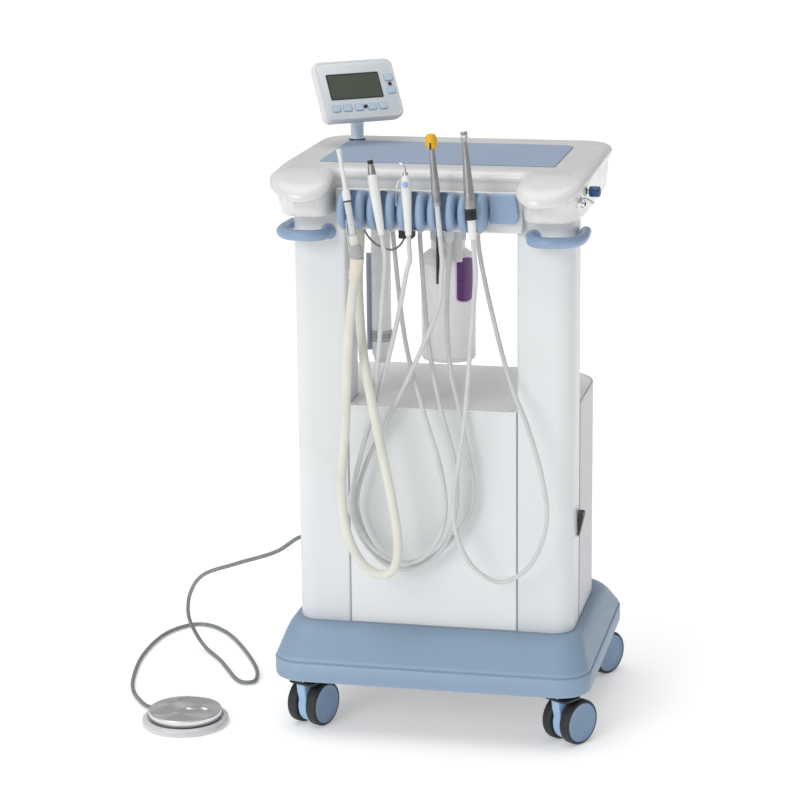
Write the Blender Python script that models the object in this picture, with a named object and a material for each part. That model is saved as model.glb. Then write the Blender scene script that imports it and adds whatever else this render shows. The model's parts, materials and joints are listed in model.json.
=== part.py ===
"""Mobile dental treatment cart, built as separate pieces.

Axes: +X to the right of a person standing at the front, +Y to the back,
+Z up, floor at z = 0. All sizes are in metres.
Cart sizes are written about the middle of the cart, then moved by SHIFT so
that the frame origin lies under the middle of the whole object's box.
"""
import math

import bmesh
import bpy
from mathutils import Matrix, Vector
from mathutils.geometry import tessellate_polygon

for old in list(bpy.data.objects):
    bpy.data.objects.remove(old, do_unlink=True)

# ---------------------------------------------------------------- dimensions
SHIFT = Vector((0.1108, 0.0462, 0.0))
GAP = 0.0003

WHEEL_R = 0.0375
WHEEL_FACE_IN = 0.010
WHEEL_FACE_OUT = 0.028
SWIVEL_X = 0.213
SWIVEL_Y_FRONT = -0.198
SWIVEL_Y_REAR = 0.138
TRAIL = 0.020
FORK_TOP = 0.0960

BASE_HALF_W = 0.262
BASE_FRONT = -0.250
BASE_BACK = 0.190
BASE_Z0 = 0.095
BASE_Z1 = 0.182

COL_IN = 0.1375
COL_OUT = 0.2274
COL_FRONT = -0.186
COL_BACK = -0.106
TRAY_Z0 = 0.862
TRAY_Z1 = 0.935
CAB_BACK = 0.115
SHELF_Z = 0.5485

HOLDER_PITCH = 0.0479
HOLDER_X0 = -0.1173
BAR_FRONT = -0.2003
FORK_TIP = -0.246

POST_X = -0.179
POST_Y = 0.0850
DISP_YAW = 36.0
DISP_TILT = 34.0
DISP_W = 0.142
DISP_H = 0.108
DISP_DEEP = 0.028
DISP_C = Vector((-0.1676, 0.052, 1.025))

PEDAL_X = -0.4156
PEDAL_Y = -0.2204

# ---------------------------------------------------------------- materials
COLOURS = {
    "white_shell": (0.86, 0.87, 0.88, 0.35, 0.0),
    "tray_white": (0.90, 0.90, 0.88, 0.30, 0.0),
    "steel_blue": (0.36, 0.49, 0.66, 0.40, 0.0),
    "mat_blue": (0.38, 0.48, 0.62, 0.60, 0.0),
    "grey_metal": (0.48, 0.50, 0.52, 0.45, 0.6),
    "tyre_black": (0.02, 0.02, 0.02, 0.75, 0.0),
    "display_white": (0.88, 0.89, 0.90, 0.35, 0.0),
    "lcd_olive": (0.08, 0.10, 0.07, 0.12, 0.0),
    "key_blue": (0.74, 0.82, 0.90, 0.50, 0.0),
    "hand_white": (0.90, 0.90, 0.90, 0.30, 0.0),
    "hand_steel": (0.55, 0.55, 0.54, 0.30, 1.0),
    "ring_black": (0.02, 0.02, 0.022, 0.40, 0.0),
    "chrome": (0.75, 0.75, 0.76, 0.12, 1.0),
    "button_blue": (0.45, 0.66, 0.90, 0.35, 0.0),
    "hose_cream": (0.82, 0.80, 0.68, 0.50, 0.0),
    "hose_grey": (0.66, 0.67, 0.68, 0.50, 0.0),
    "hose_dark": (0.30, 0.31, 0.33, 0.55, 0.0),
    "clear_white": (0.84, 0.84, 0.82, 0.25, 0.0),
    "compressor_blue": (0.10, 0.16, 0.30, 0.45, 0.0),
    "knob_blue": (0.01, 0.06, 0.20, 0.35, 0.0),
    "switch_black": (0.02, 0.02, 0.02, 0.35, 0.0),
}


def material(slot, node):
    red, green, blue, rough, metal = COLOURS[slot]
    mat = bpy.data.materials.new(slot + "." + node)
    mat.use_nodes = True
    shader = mat.node_tree.nodes["Principled BSDF"]
    shader.inputs["Base Color"].default_value = (red, green, blue, 1.0)
    shader.inputs["Roughness"].default_value = rough
    shader.inputs["Metallic"].default_value = metal
    mat.diffuse_color = (red, green, blue, 1.0)
    return mat


def make(name, slot, verts, faces, origin=(0, 0, 0), smooth=True):
    """One closed body; verts are in cart coordinates, origin is its pivot."""
    pivot = Vector(origin)
    mesh = bpy.data.meshes.new(name)
    mesh.from_pydata([Vector(v) - pivot for v in verts], [], faces)
    bm = bmesh.new()
    bm.from_mesh(mesh)
    bmesh.ops.remove_doubles(bm, verts=bm.verts, dist=1e-6)
    bmesh.ops.recalc_face_normals(bm, faces=bm.faces)
    bm.to_mesh(mesh)
    bm.free()
    for poly in mesh.polygons:
        poly.use_smooth = smooth
    if smooth:
        mesh.set_sharp_from_angle(angle=math.radians(35))
    obj = bpy.data.objects.new(name, mesh)
    obj.location = pivot + SHIFT
    bpy.context.scene.collection.objects.link(obj)
    mesh.materials.append(material(slot, name))
    return obj


def rounded(corners, steps=5):
    """Plan outline from (x, y, fillet radius) corners, anticlockwise."""
    out = []
    count = len(corners)
    for i in range(count):
        px, py, _ = corners[i - 1]
        cx, cy, r = corners[i]
        nx, ny, _ = corners[(i + 1) % count]
        here = Vector((cx, cy))
        to_prev = (Vector((px, py)) - here).normalized()
        to_next = (Vector((nx, ny)) - here).normalized()
        half = to_prev.angle(to_next) / 2.0
        back = r / math.tan(half)
        start = here + to_prev * back
        end = here + to_next * back
        centre = here + (to_prev + to_next).normalized() * (r / math.sin(half))
        a = start - centre
        sweep = a.angle_signed(end - centre)
        for k in range(steps + 1):
            turn = -sweep * k / steps
            c = math.cos(turn)
            s = math.sin(turn)
            out.append((centre.x + a.x * c - a.y * s, centre.y + a.x * s + a.y * c))
    return out


def rect(x0, x1, y0, y1, r, steps=5):
    return rounded([(x0, y0, r), (x1, y0, r), (x1, y1, r), (x0, y1, r)], steps)


def inset(corners, dist):
    """Move every edge of a corner list inward; fillets follow."""
    count = len(corners)
    lines = []
    for i in range(count):
        a = Vector(corners[i][:2])
        b = Vector(corners[(i + 1) % count][:2])
        step = (b - a).normalized()
        normal = Vector((-step.y, step.x))
        lines.append((a + normal * dist, step))
    out = []
    for i in range(count):
        p, d = lines[i - 1]
        q, e = lines[i]
        cross = d.x * e.y - d.y * e.x
        t = ((q.x - p.x) * e.y - (q.y - p.y) * e.x) / cross
        spot = p + d * t
        r = corners[i][2]
        r = r - dist if cross > 0 else r + dist
        out.append((spot.x, spot.y, max(r, 0.003)))
    return out


def loft(name, slot, rings, origin=(0, 0, 0), smooth=True, closed=False):
    """Skin a list of equal-length rings of 3-D points and cap both ends."""
    n = len(rings[0])
    verts = [p for ring in rings for p in ring]
    faces = []
    spans = len(rings) if closed else len(rings) - 1
    for j in range(spans):
        a = j * n
        b = ((j + 1) % len(rings)) * n
        for i in range(n):
            k = (i + 1) % n
            faces.append((a + i, a + k, b + k, b + i))
    if not closed:
        faces.append(tuple(range(n)))
        faces.append(tuple(range((len(rings) - 1) * n, len(rings) * n)))
    return make(name, slot, verts, faces, origin, smooth)


def at_z(outline, z):
    return [(x, y, z) for x, y in outline]


def box(name, slot, lo, hi, origin=(0, 0, 0)):
    ring = [(lo[0], lo[1]), (hi[0], lo[1]), (hi[0], hi[1]), (lo[0], hi[1])]
    return loft(name, slot, [at_z(ring, lo[2]), at_z(ring, hi[2])], origin, smooth=False)


def axes_for(direction):
    w = Vector(direction).normalized()
    side = Vector((1, 0, 0)) if abs(w.x) < 0.8 else Vector((0, 1, 0))
    u = side.cross(w).normalized()
    return u, w.cross(u), w


def lathe(name, slot, base, direction, profile, segments=20, origin=None):
    """Turn (radius, height) stations about the line from base along direction."""
    base = Vector(base)
    u, v, w = axes_for(direction)
    verts = []
    rows = []
    for r, h in profile:
        if r <= 0.0:
            rows.append([len(verts)])
            verts.append(base + w * h)
            continue
        row = []
        for i in range(segments):
            t = 2 * math.pi * i / segments
            row.append(len(verts))
            verts.append(base + w * h + (u * math.cos(t) + v * math.sin(t)) * r)
        rows.append(row)
    faces = []
    for a, b in zip(rows, rows[1:]):
        for i in range(segments):
            k = (i + 1) % segments
            if len(a) == 1:
                faces.append((a[0], b[k], b[i]))
            elif len(b) == 1:
                faces.append((a[i], a[k], b[0]))
            else:
                faces.append((a[i], a[k], b[k], b[i]))
    if len(rows[0]) > 1:
        faces.append(tuple(rows[0]))
    if len(rows[-1]) > 1:
        faces.append(tuple(rows[-1]))
    return make(name, slot, verts, faces, origin if origin is not None else base)


def smooth_path(points, spacing):
    """Catmull-Rom curve through the points, read at even spacing."""
    pts = [Vector(p) for p in points]
    pts = [pts[0] * 2 - pts[1]] + pts + [pts[-1] * 2 - pts[-2]]
    fine = []
    for i in range(1, len(pts) - 2):
        p0, p1, p2, p3 = pts[i - 1:i + 3]
        for k in range(16):
            t = k / 16
            fine.append(0.5 * ((2 * p1) + (p2 - p0) * t + (2 * p0 - 5 * p1 + 4 * p2 - p3) * t * t
                               + (3 * p1 - p0 - 3 * p2 + p3) * t ** 3))
    fine.append(pts[-2])
    total = sum((b - a).length for a, b in zip(fine, fine[1:]))
    count = max(2, round(total / spacing))
    step = total / count
    out = [fine[0]]
    run = 0.0
    want = step
    for a, b in zip(fine, fine[1:]):
        seg = (b - a).length
        while want <= run + seg + 1e-9 and len(out) < count:
            out.append(a + (b - a) * ((want - run) / seg))
            want += step
        run += seg
    out.append(fine[-1])
    return out


def sweep(name, slot, points, radius, segments=12, spacing=0.008, origin=None):
    """Round bar along a smooth path, closed flat at both ends."""
    path = smooth_path(points, spacing)
    tangents = []
    for i in range(len(path)):
        a = path[max(i - 1, 0)]
        b = path[min(i + 1, len(path) - 1)]
        tangents.append((b - a).normalized())
    u, _, _ = axes_for(tangents[0])
    rings = []
    for p, t in zip(path, tangents):
        u = (u - t * u.dot(t)).normalized()
        v = t.cross(u)
        ring = []
        for i in range(segments):
            turn = 2 * math.pi * i / segments
            ring.append(p + (u * math.cos(turn) + v * math.sin(turn)) * radius)
        rings.append(ring)
    return loft(name, slot, rings, origin if origin is not None else path[0])


def hose(name, slot, points, diameter, spacing):
    """Flexible hose as a round tube along its route."""
    data = bpy.data.curves.new(name, "CURVE")
    data.dimensions = "3D"
    data.bevel_depth = diameter / 2
    data.bevel_resolution = 2
    data.use_fill_caps = True
    data.resolution_u = 1
    data.render_resolution_u = 0
    path = smooth_path(points, spacing)
    spline = data.splines.new("POLY")
    spline.points.add(len(path) - 1)
    for spot, p in zip(spline.points, path):
        spot.co = (p.x - path[0].x, p.y - path[0].y, p.z - path[0].z, 1.0)
    spline.use_smooth = True
    obj = bpy.data.objects.new(name, data)
    obj.location = path[0] + SHIFT
    bpy.context.scene.collection.objects.link(obj)
    data.materials.append(material(slot, name))
    return obj


# ---------------------------------------------------------------- base
def base_ring(d, dr=0.0):
    return [(-BASE_HALF_W + d, BASE_FRONT + d, 0.052 + dr), (BASE_HALF_W - d, BASE_FRONT + d, 0.052 + dr),
            (BASE_HALF_W - d, BASE_BACK - d, 0.052 + dr), (-BASE_HALF_W + d, BASE_BACK - d, 0.052 + dr)]


BODY_TOP = rounded([(-0.234, -0.194, 0.040), (0.234, -0.194, 0.040), (0.234, 0.124, 0.080),
                    (-0.234, 0.124, 0.080)], 6)


def mix(a, b, t):
    return [(p[0] + (q[0] - p[0]) * t, p[1] + (q[1] - p[1]) * t) for p, q in zip(a, b)]


rim = rounded(base_ring(0.0), 6)
rim_in = rounded(base_ring(0.005), 6)
top_in = rounded([(-0.229, -0.189, 0.036), (0.229, -0.189, 0.036), (0.229, 0.119, 0.076),
                  (-0.229, 0.119, 0.076)], 6)
base_rings = [
    at_z(rounded(base_ring(0.004), 6), BASE_Z0),
    at_z(rim, BASE_Z0 + 0.005),
    at_z(rim, 0.1275),
    at_z(rounded(base_ring(0.003), 6), 0.1300),
    at_z(mix(rim, BODY_TOP, 0.20), 0.1480),
    at_z(mix(rim, BODY_TOP, 0.50), 0.1640),
    at_z(mix(rim, BODY_TOP, 0.80), 0.1750),
    at_z(BODY_TOP, BASE_Z1),
]
inner_rings = [
    at_z(mix(rim_in, top_in, 0.90), 0.1770),
    at_z(mix(rim_in, top_in, 0.50), 0.1600),
    at_z(mix(rim_in, top_in, 0.20), 0.1430),
    at_z(rim_in, 0.1240),
    at_z(rounded(base_ring(0.0085), 6), BASE_Z0),
]


def shell(name, slot, outer, inner):
    """Open-bottomed cover: outer skin up, closed top, inner skin down."""
    n = len(outer[0])
    rings = outer + inner
    verts = [p for ring in rings for p in ring]
    faces = []
    for j in range(len(outer) - 1):
        for i in range(n):
            k = (i + 1) % n
            faces.append((j * n + i, j * n + k, (j + 1) * n + k, (j + 1) * n + i))
    top = (len(outer) - 1) * n
    faces.append(tuple(range(top, top + n)))
    first = len(outer) * n
    faces.append(tuple(range(first, first + n)))
    for j in range(len(outer), len(rings) - 1):
        for i in range(n):
            k = (i + 1) % n
            faces.append((j * n + i, j * n + k, (j + 1) * n + k, (j + 1) * n + i))
    last = (len(rings) - 1) * n
    for i in range(n):
        k = (i + 1) % n
        faces.append((i, k, last + k, last + i))
    return make(name, slot, verts, faces)


shell("base_cover", "steel_blue", base_rings, inner_rings)
loft("base_frame", "grey_metal",
     [at_z(rounded(base_ring(0.0092), 6), 0.0965), at_z(rounded(base_ring(0.0092), 6), 0.1045)],
     smooth=False)

# ---------------------------------------------------------------- columns and cabinet


def tube_wall(name, slot, corners, wall, z0, z1, steps=5):
    """Upright hollow post, open at both ends."""
    outer = rounded(corners, steps)
    inner = rounded(inset(corners, wall), steps)
    rings = [at_z(outer, z0), at_z(outer, z1), at_z(inner, z1), at_z(inner, z0)]
    return loft(name, slot, rings, closed=True)


right_plan = [(COL_IN, COL_FRONT, 0.005), (COL_OUT, COL_FRONT, 0.032), (COL_OUT, COL_BACK, 0.010),
              (COL_IN, COL_BACK, 0.006)]
left_plan = [(-COL_IN, COL_BACK, 0.006), (-COL_OUT, COL_BACK, 0.010), (-COL_OUT, COL_FRONT, 0.032),
             (-COL_IN, COL_FRONT, 0.005)]
tube_wall("left_column", "white_shell", left_plan, 0.003, BASE_Z1 + GAP, TRAY_Z0 - GAP)
tube_wall("right_column", "white_shell", right_plan, 0.003, BASE_Z1 + GAP, TRAY_Z0 - GAP)
box("front_panel", "white_shell", (-COL_IN + 0.0012, COL_FRONT + 0.0006, BASE_Z1 + 0.0012),
    (COL_IN - 0.0012, COL_FRONT + 0.0036, 0.5462))

u_outer = rounded([(COL_OUT, COL_BACK + 0.0008, 0.0005), (COL_OUT, CAB_BACK, 0.085),
                   (-COL_OUT, CAB_BACK, 0.085), (-COL_OUT, COL_BACK + 0.0008, 0.0005)], 8)
wall = 0.003
u_inner = rounded([(-COL_OUT + wall, COL_BACK + 0.0008, 0.0005), (-COL_OUT + wall, CAB_BACK - wall, 0.082),
                   (COL_OUT - wall, CAB_BACK - wall, 0.082), (COL_OUT - wall, COL_BACK + 0.0008, 0.0005)], 8)
housing_plan = u_outer[9:27] + u_inner[9:27]
housing_plan = [(COL_OUT, COL_BACK + 0.0008)] + housing_plan[:18] + [(-COL_OUT, COL_BACK + 0.0008),
                (-COL_OUT + wall, COL_BACK + 0.0008)] + housing_plan[18:] + [(COL_OUT - wall, COL_BACK + 0.0008)]
loft("rear_housing", "white_shell", [at_z(housing_plan, BASE_Z1 + GAP), at_z(housing_plan, SHELF_Z)])

shelf_side = COL_OUT - wall - GAP
shelf_plan = [(-COL_IN + 0.0005, COL_FRONT - 0.0010), (COL_IN - 0.0005, COL_FRONT - 0.0010),
              (COL_IN - 0.0005, COL_BACK + 0.0010), (shelf_side, COL_BACK + 0.0010)]
shelf_back = rounded([(shelf_side, COL_BACK + 0.0010, 0.0005), (shelf_side, CAB_BACK - wall - GAP, 0.0817),
                      (-shelf_side, CAB_BACK - wall - GAP, 0.0817), (-shelf_side, COL_BACK + 0.0010, 0.0005)], 8)[9:27]
shelf_plan = shelf_plan + shelf_back + [(-shelf_side, COL_BACK + 0.0010), (-COL_IN + 0.0005, COL_BACK + 0.0010)]
shelf_plan = [p for i, p in enumerate(shelf_plan) if p != shelf_plan[i - 1]]
loft("cabinet_shelf", "grey_metal", [at_z(shelf_plan, 0.5465), at_z(shelf_plan, SHELF_Z)], smooth=False)

lathe("compressor", "compressor_blue", (0.0, -0.010, BASE_Z1 + GAP), (0, 0, 1),
      [(0.045, 0.0), (0.045, 0.018), (0.068, 0.028), (0.076, 0.060), (0.076, 0.135), (0.066, 0.172),
       (0.040, 0.192), (0.020, 0.196), (0.020, 0.214), (0.0, 0.214)], 24)

# ---------------------------------------------------------------- worktop
TRAY_FRONT = -0.283
TRAY_FLAT_Y = -0.160
TRAY_FALL_Y = -0.205
TRAY_FALL = 0.024
TRAY = [(0.1430, TRAY_FRONT, 0.038), (0.2460, TRAY_FRONT, 0.062), (0.2505, -0.140, 0.060), (0.2460, 0.150, 0.050),
        (-0.2460, 0.150, 0.050), (-0.2505, -0.140, 0.060), (-0.2460, TRAY_FRONT, 0.062),
        (-0.1430, TRAY_FRONT, 0.038), (-0.1515, -0.190, 0.002), (0.1515, -0.190, 0.002)]
SKIRT = [(0.1550, -0.2340, 0.022), (0.2360, -0.2340, 0.042), (0.2415, -0.140, 0.060), (0.2370, 0.141, 0.045),
         (-0.2370, 0.141, 0.045), (-0.2415, -0.140, 0.060), (-0.2360, -0.2340, 0.042),
         (-0.1550, -0.2340, 0.022), (-0.1520, -0.1895, 0.002), (0.1520, -0.1895, 0.002)]


def tray_level(y):
    """Level of the upper face: flat, then falling over the two front lobes."""
    run = max(0.0, (TRAY_FALL_Y - y) / (TRAY_FALL_Y - TRAY_FRONT))
    return TRAY_Z1 - TRAY_FALL * run ** 1.6


def tray_ring(outline, below):
    return [(x, y, tray_level(y) - below) for x, y in outline]


skirt = rounded(SKIRT, 5)
lip = rounded(inset(TRAY, 0.004), 5)
top_edge = rounded(inset(TRAY, 0.022), 5)
flat = [(0.84 * x, TRAY_FLAT_Y + (y - TRAY_FLAT_Y) * (0.84 if y > TRAY_FLAT_Y else 0.04)) for x, y in top_edge]
tray_rings = [at_z(rounded(inset(SKIRT, 0.005), 5), TRAY_Z0), at_z(skirt, TRAY_Z0 + 0.0060),
              at_z(mix(skirt, lip, 0.15), TRAY_Z0 + 0.0140)]
tray_rings += [tray_ring(mix(skirt, lip, 0.75), 0.0240), tray_ring(lip, 0.0190)]
tray_rings += [tray_ring(rounded(inset(TRAY, d), 5), below) for d, below in
               ((0.0, 0.0150), (0.0, 0.0110), (0.0025, 0.0060), (0.0075, 0.0022), (0.0140, 0.0006))]
tray_rings += [tray_ring(mix(top_edge, flat, t), 0.0) for t in (0.0, 0.34, 0.68, 1.0)]
loft("worktop", "tray_white", tray_rings)
loft("worktop_mat", "mat_blue",
     [at_z(rect(-0.1890, 0.1890, -0.1385, 0.0715, 0.010, 4), TRAY_Z1 + GAP),
      at_z(rect(-0.1890, 0.1890, -0.1385, 0.0715, 0.010, 4), TRAY_Z1 + 0.0015)], smooth=False)

# ---------------------------------------------------------------- holder bar, forks and blank
box("holder_bar", "tray_white", (-0.1490, BAR_FRONT, 0.8390), (0.1490, -0.1903, 0.9040))


def fork_ring(cx, z, half, tip, slot_tip, slot_root):
    back = BAR_FRONT - GAP
    root = back - 0.010
    mid = (half + slot_tip) / 2
    pts = [(-half, back), (half, back), (half, tip + 0.010), (half - 0.002, tip + 0.003), (mid, tip),
           (slot_tip, tip + 0.003), (slot_root, root - 0.004), (slot_root * 0.6, root),
           (-slot_root * 0.6, root), (-slot_root, root - 0.004), (-slot_tip, tip + 0.003), (-mid, tip),
           (-half + 0.002, tip + 0.003), (-half, tip + 0.010)]
    return [(cx + x, y, z) for x, y in pts]


def fork(name, cx):
    rings = [
        fork_ring(cx, 0.8425, 0.0175, FORK_TIP + 0.022, 0.0090, 0.0045),
        fork_ring(cx, 0.8500, 0.0205, FORK_TIP + 0.009, 0.0100, 0.0045),
        fork_ring(cx, 0.8620, 0.0223, FORK_TIP + 0.001, 0.0105, 0.0045),
        fork_ring(cx, 0.8780, 0.0226, FORK_TIP, 0.0110, 0.0045),
        fork_ring(cx, 0.8930, 0.0215, FORK_TIP + 0.004, 0.0110, 0.0045),
        fork_ring(cx, 0.9005, 0.0195, FORK_TIP + 0.012, 0.0100, 0.0045),
        fork_ring(cx, 0.9035, 0.0170, FORK_TIP + 0.022, 0.0090, 0.0045),
    ]
    loft(name, "steel_blue", rings)


for i in range(5):
    fork("holder_%d" % (i + 1), HOLDER_X0 + i * HOLDER_PITCH)

blank_ring = [(0.0985, 0.8560), (0.1400, 0.8560), (0.1445, 0.8620), (0.1445, 0.8740), (0.1390, 0.9025),
              (0.0985, 0.9025)]
loft("holder_blank", "steel_blue",
     [[(x, BAR_FRONT - GAP, z) for x, z in blank_ring], [(x, BAR_FRONT - 0.012, z) for x, z in blank_ring]],
     smooth=False)

# ---------------------------------------------------------------- grab handles
HANDLE = [(0.1640, COL_FRONT - GAP, 0.832), (0.1640, -0.200, 0.832), (0.1670, -0.216, 0.832),
          (0.1800, -0.2265, 0.832), (0.2020, -0.2285, 0.832), (0.2240, -0.2205, 0.832),
          (0.2370, -0.200, 0.832), (0.2400, -0.172, 0.832), (0.2385, -0.145, 0.832), (0.2368, -0.120, 0.832)]
sweep("right_handle", "steel_blue", HANDLE, 0.009, 12, 0.009)
sweep("left_handle", "steel_blue", [(-x, y, z) for x, y, z in HANDLE], 0.009, 12, 0.009)

# ---------------------------------------------------------------- control display
lathe("display_post", "steel_blue", (POST_X, POST_Y, TRAY_Z1 + GAP), (0, 0, 1),
      [(0.0128, 0.0), (0.0128, 0.0030), (0.0112, 0.0036), (0.0112, 0.0720)], 24)
yaw = math.radians(DISP_YAW)
tilt = math.radians(DISP_TILT)
face_h = Vector((math.sin(yaw), -math.cos(yaw), 0.0))
DU = Vector((math.cos(yaw), math.sin(yaw), 0.0))
DV = Vector((0, 0, 1)) * math.cos(tilt) - face_h * math.sin(tilt)
DN = face_h * math.cos(tilt) + Vector((0, 0, 1)) * math.sin(tilt)


def on_face(outline, n):
    return [DISP_C + DU * x + DV * y + DN * n for x, y in outline]


def disp_rect(d, r):
    return rect(-DISP_W / 2 + d, DISP_W / 2 - d, -DISP_H / 2 + d, DISP_H / 2 - d, r, 4)


loft("display_housing", "display_white",
     [on_face(disp_rect(0.010, 0.006), -DISP_DEEP), on_face(disp_rect(0.004, 0.010), -DISP_DEEP + 0.004),
      on_face(disp_rect(0.0, 0.013), -0.010), on_face(disp_rect(0.0, 0.013), -0.004),
      on_face(disp_rect(0.0015, 0.012), -0.001), on_face(disp_rect(0.0045, 0.009), 0.0)],
     origin=(POST_X, POST_Y, 1.0073))
LCD_U = -0.0063
LCD_V = 0.0051
lcd = rect(LCD_U - 0.0466, LCD_U + 0.0466, LCD_V - 0.0233, LCD_V + 0.0233, 0.002, 2)
loft("lcd_window", "lcd_olive", [on_face(lcd, GAP), on_face(lcd, 0.0014)], smooth=False)
KEYS = [("key_1", -0.0480, -0.0338), ("key_2", -0.0281, -0.0338), ("key_3", -0.0078, -0.0338),
        ("key_4", 0.0152, -0.0338), ("key_5", 0.0348, -0.0338), ("key_up", 0.0567, 0.0165),
        ("key_down", 0.0567, -0.0070)]
for name, u0, v0 in KEYS:
    plan = rect(u0 - 0.0068, u0 + 0.0068, v0 - 0.0056, v0 + 0.0056, 0.002, 2)
    where = DISP_C + DU * u0 + DV * v0 + DN * 0.0009
    loft(name, "key_blue", [on_face(plan, 0.0009), on_face(plan, 0.0024)], origin=where, smooth=False)

# ---------------------------------------------------------------- castors


def side_plate(name, slot, outline, hole, half, place, origin):
    """Flat piece cut from an outline, with an optional round hole."""
    flat = [Vector((t, z, 0)) for t, z in outline]
    loops = [flat]
    if hole:
        t0, z0, r = hole
        ring = []
        for i in range(16):
            turn = 2 * math.pi * i / 16
            ring.append(Vector((t0 + r * math.cos(turn), z0 + r * math.sin(turn), 0)))
        loops.append(ring)
    tris = tessellate_polygon(loops)
    pts = [p for loop in loops for p in loop]
    n = len(pts)
    verts = [place(p.x, -half, p.y) for p in pts] + [place(p.x, half, p.y) for p in pts]
    faces = []
    for a, b, c in tris:
        faces.append((a, b, c))
        faces.append((a + n, c + n, b + n))
    first = 0
    for loop in loops:
        m = len(loop)
        for i in range(m):
            k = (i + 1) % m
            faces.append((first + i, first + k, first + k + n, first + i + n))
        first += m
    return make(name, slot, verts, faces, origin)


HOOD_R = 0.0330
FORK_SIDE = [(-0.017, FORK_TOP), (-0.017, 0.0780), (-0.0150, 0.0630)]
for step in range(7):
    sweep_angle = math.radians(160.0 + 15.0 * step)
    FORK_SIDE.append((TRAIL + HOOD_R * math.cos(sweep_angle), WHEEL_R + HOOD_R * math.sin(sweep_angle)))
FORK_SIDE += [(0.0160, 0.0120), (0.0260, 0.0180), (0.0330, 0.0310), (0.0330, 0.0600), (0.0270, 0.0740),
              (0.0190, 0.0870), (0.0170, FORK_TOP)]
LEVER_SIDE = [(0.0315, 0.0730), (0.0400, 0.0745), (0.0610, 0.0720), (0.0640, 0.0740), (0.0630, 0.0775),
              (0.0410, 0.0810), (0.0310, 0.0800)]
WHEEL_HALF = [(0.0040, 0.0), (0.0040, WHEEL_FACE_IN), (0.0340, WHEEL_FACE_IN), (0.0375, 0.0145),
              (0.0375, 0.0235), (0.0350, WHEEL_FACE_OUT), (0.0220, WHEEL_FACE_OUT), (0.0, 0.0265)]


def castor(tag, sx, sy, degrees, brake):
    turn = math.radians(degrees)
    axle = Vector((math.cos(turn), math.sin(turn), 0.0))
    trail = Vector((-math.sin(turn), math.cos(turn), 0.0))
    pivot = Vector((sx, sy, 0.0))

    def place(t, h, z):
        return pivot + trail * t + axle * h + Vector((0, 0, z))

    side_plate("castor_fork_" + tag, "steel_blue", FORK_SIDE, (TRAIL, WHEEL_R, 0.0045), 0.0080, place,
               (sx, sy, FORK_TOP))
    centre = place(TRAIL, 0.0, WHEEL_R)
    profile = [(r, -h) for r, h in reversed(WHEEL_HALF)][:-1] + WHEEL_HALF[1:]
    lathe("wheelset_" + tag, "tyre_black", centre, axle, profile, 24, origin=centre)
    if brake:
        hinge = place(0.0350, 0.0, 0.0770)
        side_plate("brake_lever_" + tag, "switch_black", LEVER_SIDE, None, 0.0070, place, hinge)


castor("front_left", -SWIVEL_X, SWIVEL_Y_FRONT, -22.0, False)
castor("front_right", SWIVEL_X, SWIVEL_Y_FRONT, -33.0, False)
castor("rear_left", -SWIVEL_X, SWIVEL_Y_REAR, -20.0, True)
castor("rear_right", SWIVEL_X, SWIVEL_Y_REAR, -32.0, True)

# ---------------------------------------------------------------- instruments
BACK_LEAN = math.tan(math.radians(5.0))


class Line:
    """Axis of one parked instrument; s is measured up it from holder height."""

    def __init__(self, x, y, lean):
        self.mid = Vector((x, y, 0.875))
        self.way = Vector((-math.tan(math.radians(lean)), BACK_LEAN, 1.0)).normalized()

    def at(self, s):
        return self.mid + self.way * s


SUCTION = Line(-0.1130, -0.2580, 10.0)
SCALER = Line(-0.0690, -0.2510, 9.4)
SYRINGE = Line(-0.0240, -0.2450, 3.5)
TURBINE = Line(0.0245, -0.2470, 6.0)
MOTOR = Line(0.0795, -0.2630, 5.7)
END = -0.034


def turned(name, slot, line, profile, segments=16):
    return lathe(name, slot, line.mid, line.way, profile, segments, origin=line.mid)


turned("suction_handle", "hand_white", SUCTION,
       [(0.0050, END), (0.0055, -0.030), (0.0055, 0.0190), (0.0062, 0.0210), (0.0062, 0.0345), (0.0052, 0.0380)])
turned("suction_tip", "hand_white", SUCTION,
       [(0.0036, 0.0380 + GAP), (0.0034, 0.0840), (0.0040, 0.0940), (0.0040, 0.1010)], 12)
turned("scaler_body", "hand_white", SCALER,
       [(0.0046, END), (0.0060, -0.022), (0.0072, 0.004), (0.0082, 0.030), (0.0082, 0.050), (0.0074, 0.0600),
        (0.0066, 0.0610), (0.0044, 0.0775), (0.0038, 0.0830), (0.0014, 0.0836), (0.0011, 0.0917)])
turned("syringe_body", "hand_white", SYRINGE,
       [(0.0046, END), (0.0058, -0.022), (0.0068, 0.004), (0.0080, 0.028), (0.0080, 0.047), (0.0056, 0.0565),
        (0.0034, 0.0600)])
nose = SYRINGE.at(0.0600 + GAP)
sweep("syringe_nozzle", "chrome",
      [nose, nose + SYRINGE.way * 0.010, nose + SYRINGE.way * 0.015 + Vector((-0.003, 0, 0)),
       nose + SYRINGE.way * 0.0172 + Vector((-0.0075, 0.001, 0)), nose + SYRINGE.way * 0.0166 + Vector((-0.0115, 0.002, 0))],
      0.0014, 8, 0.003)
press = Vector((0.0, 1.0, -BACK_LEAN)).normalized()
pad = SYRINGE.at(0.0455) - press * 0.0100
lathe("syringe_button", "button_blue", pad, -press,
      [(0.0040, -0.0005), (0.0040, 0.0020), (0.0030, 0.0030), (0.0, 0.0030)], 16, origin=pad)
turned("turbine_handpiece", "hand_steel", TURBINE,
       [(0.0046, END), (0.0042, -0.028), (0.0042, 0.0130), (0.0064, 0.0145), (0.0069, 0.0220), (0.0066, 0.0400),
        (0.0050, 0.0780), (0.0043, 0.1000), (0.0078, 0.1040), (0.0094, 0.1100), (0.0090, 0.1180), (0.0050, 0.1245),
        (0.0, 0.1255)])
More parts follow.
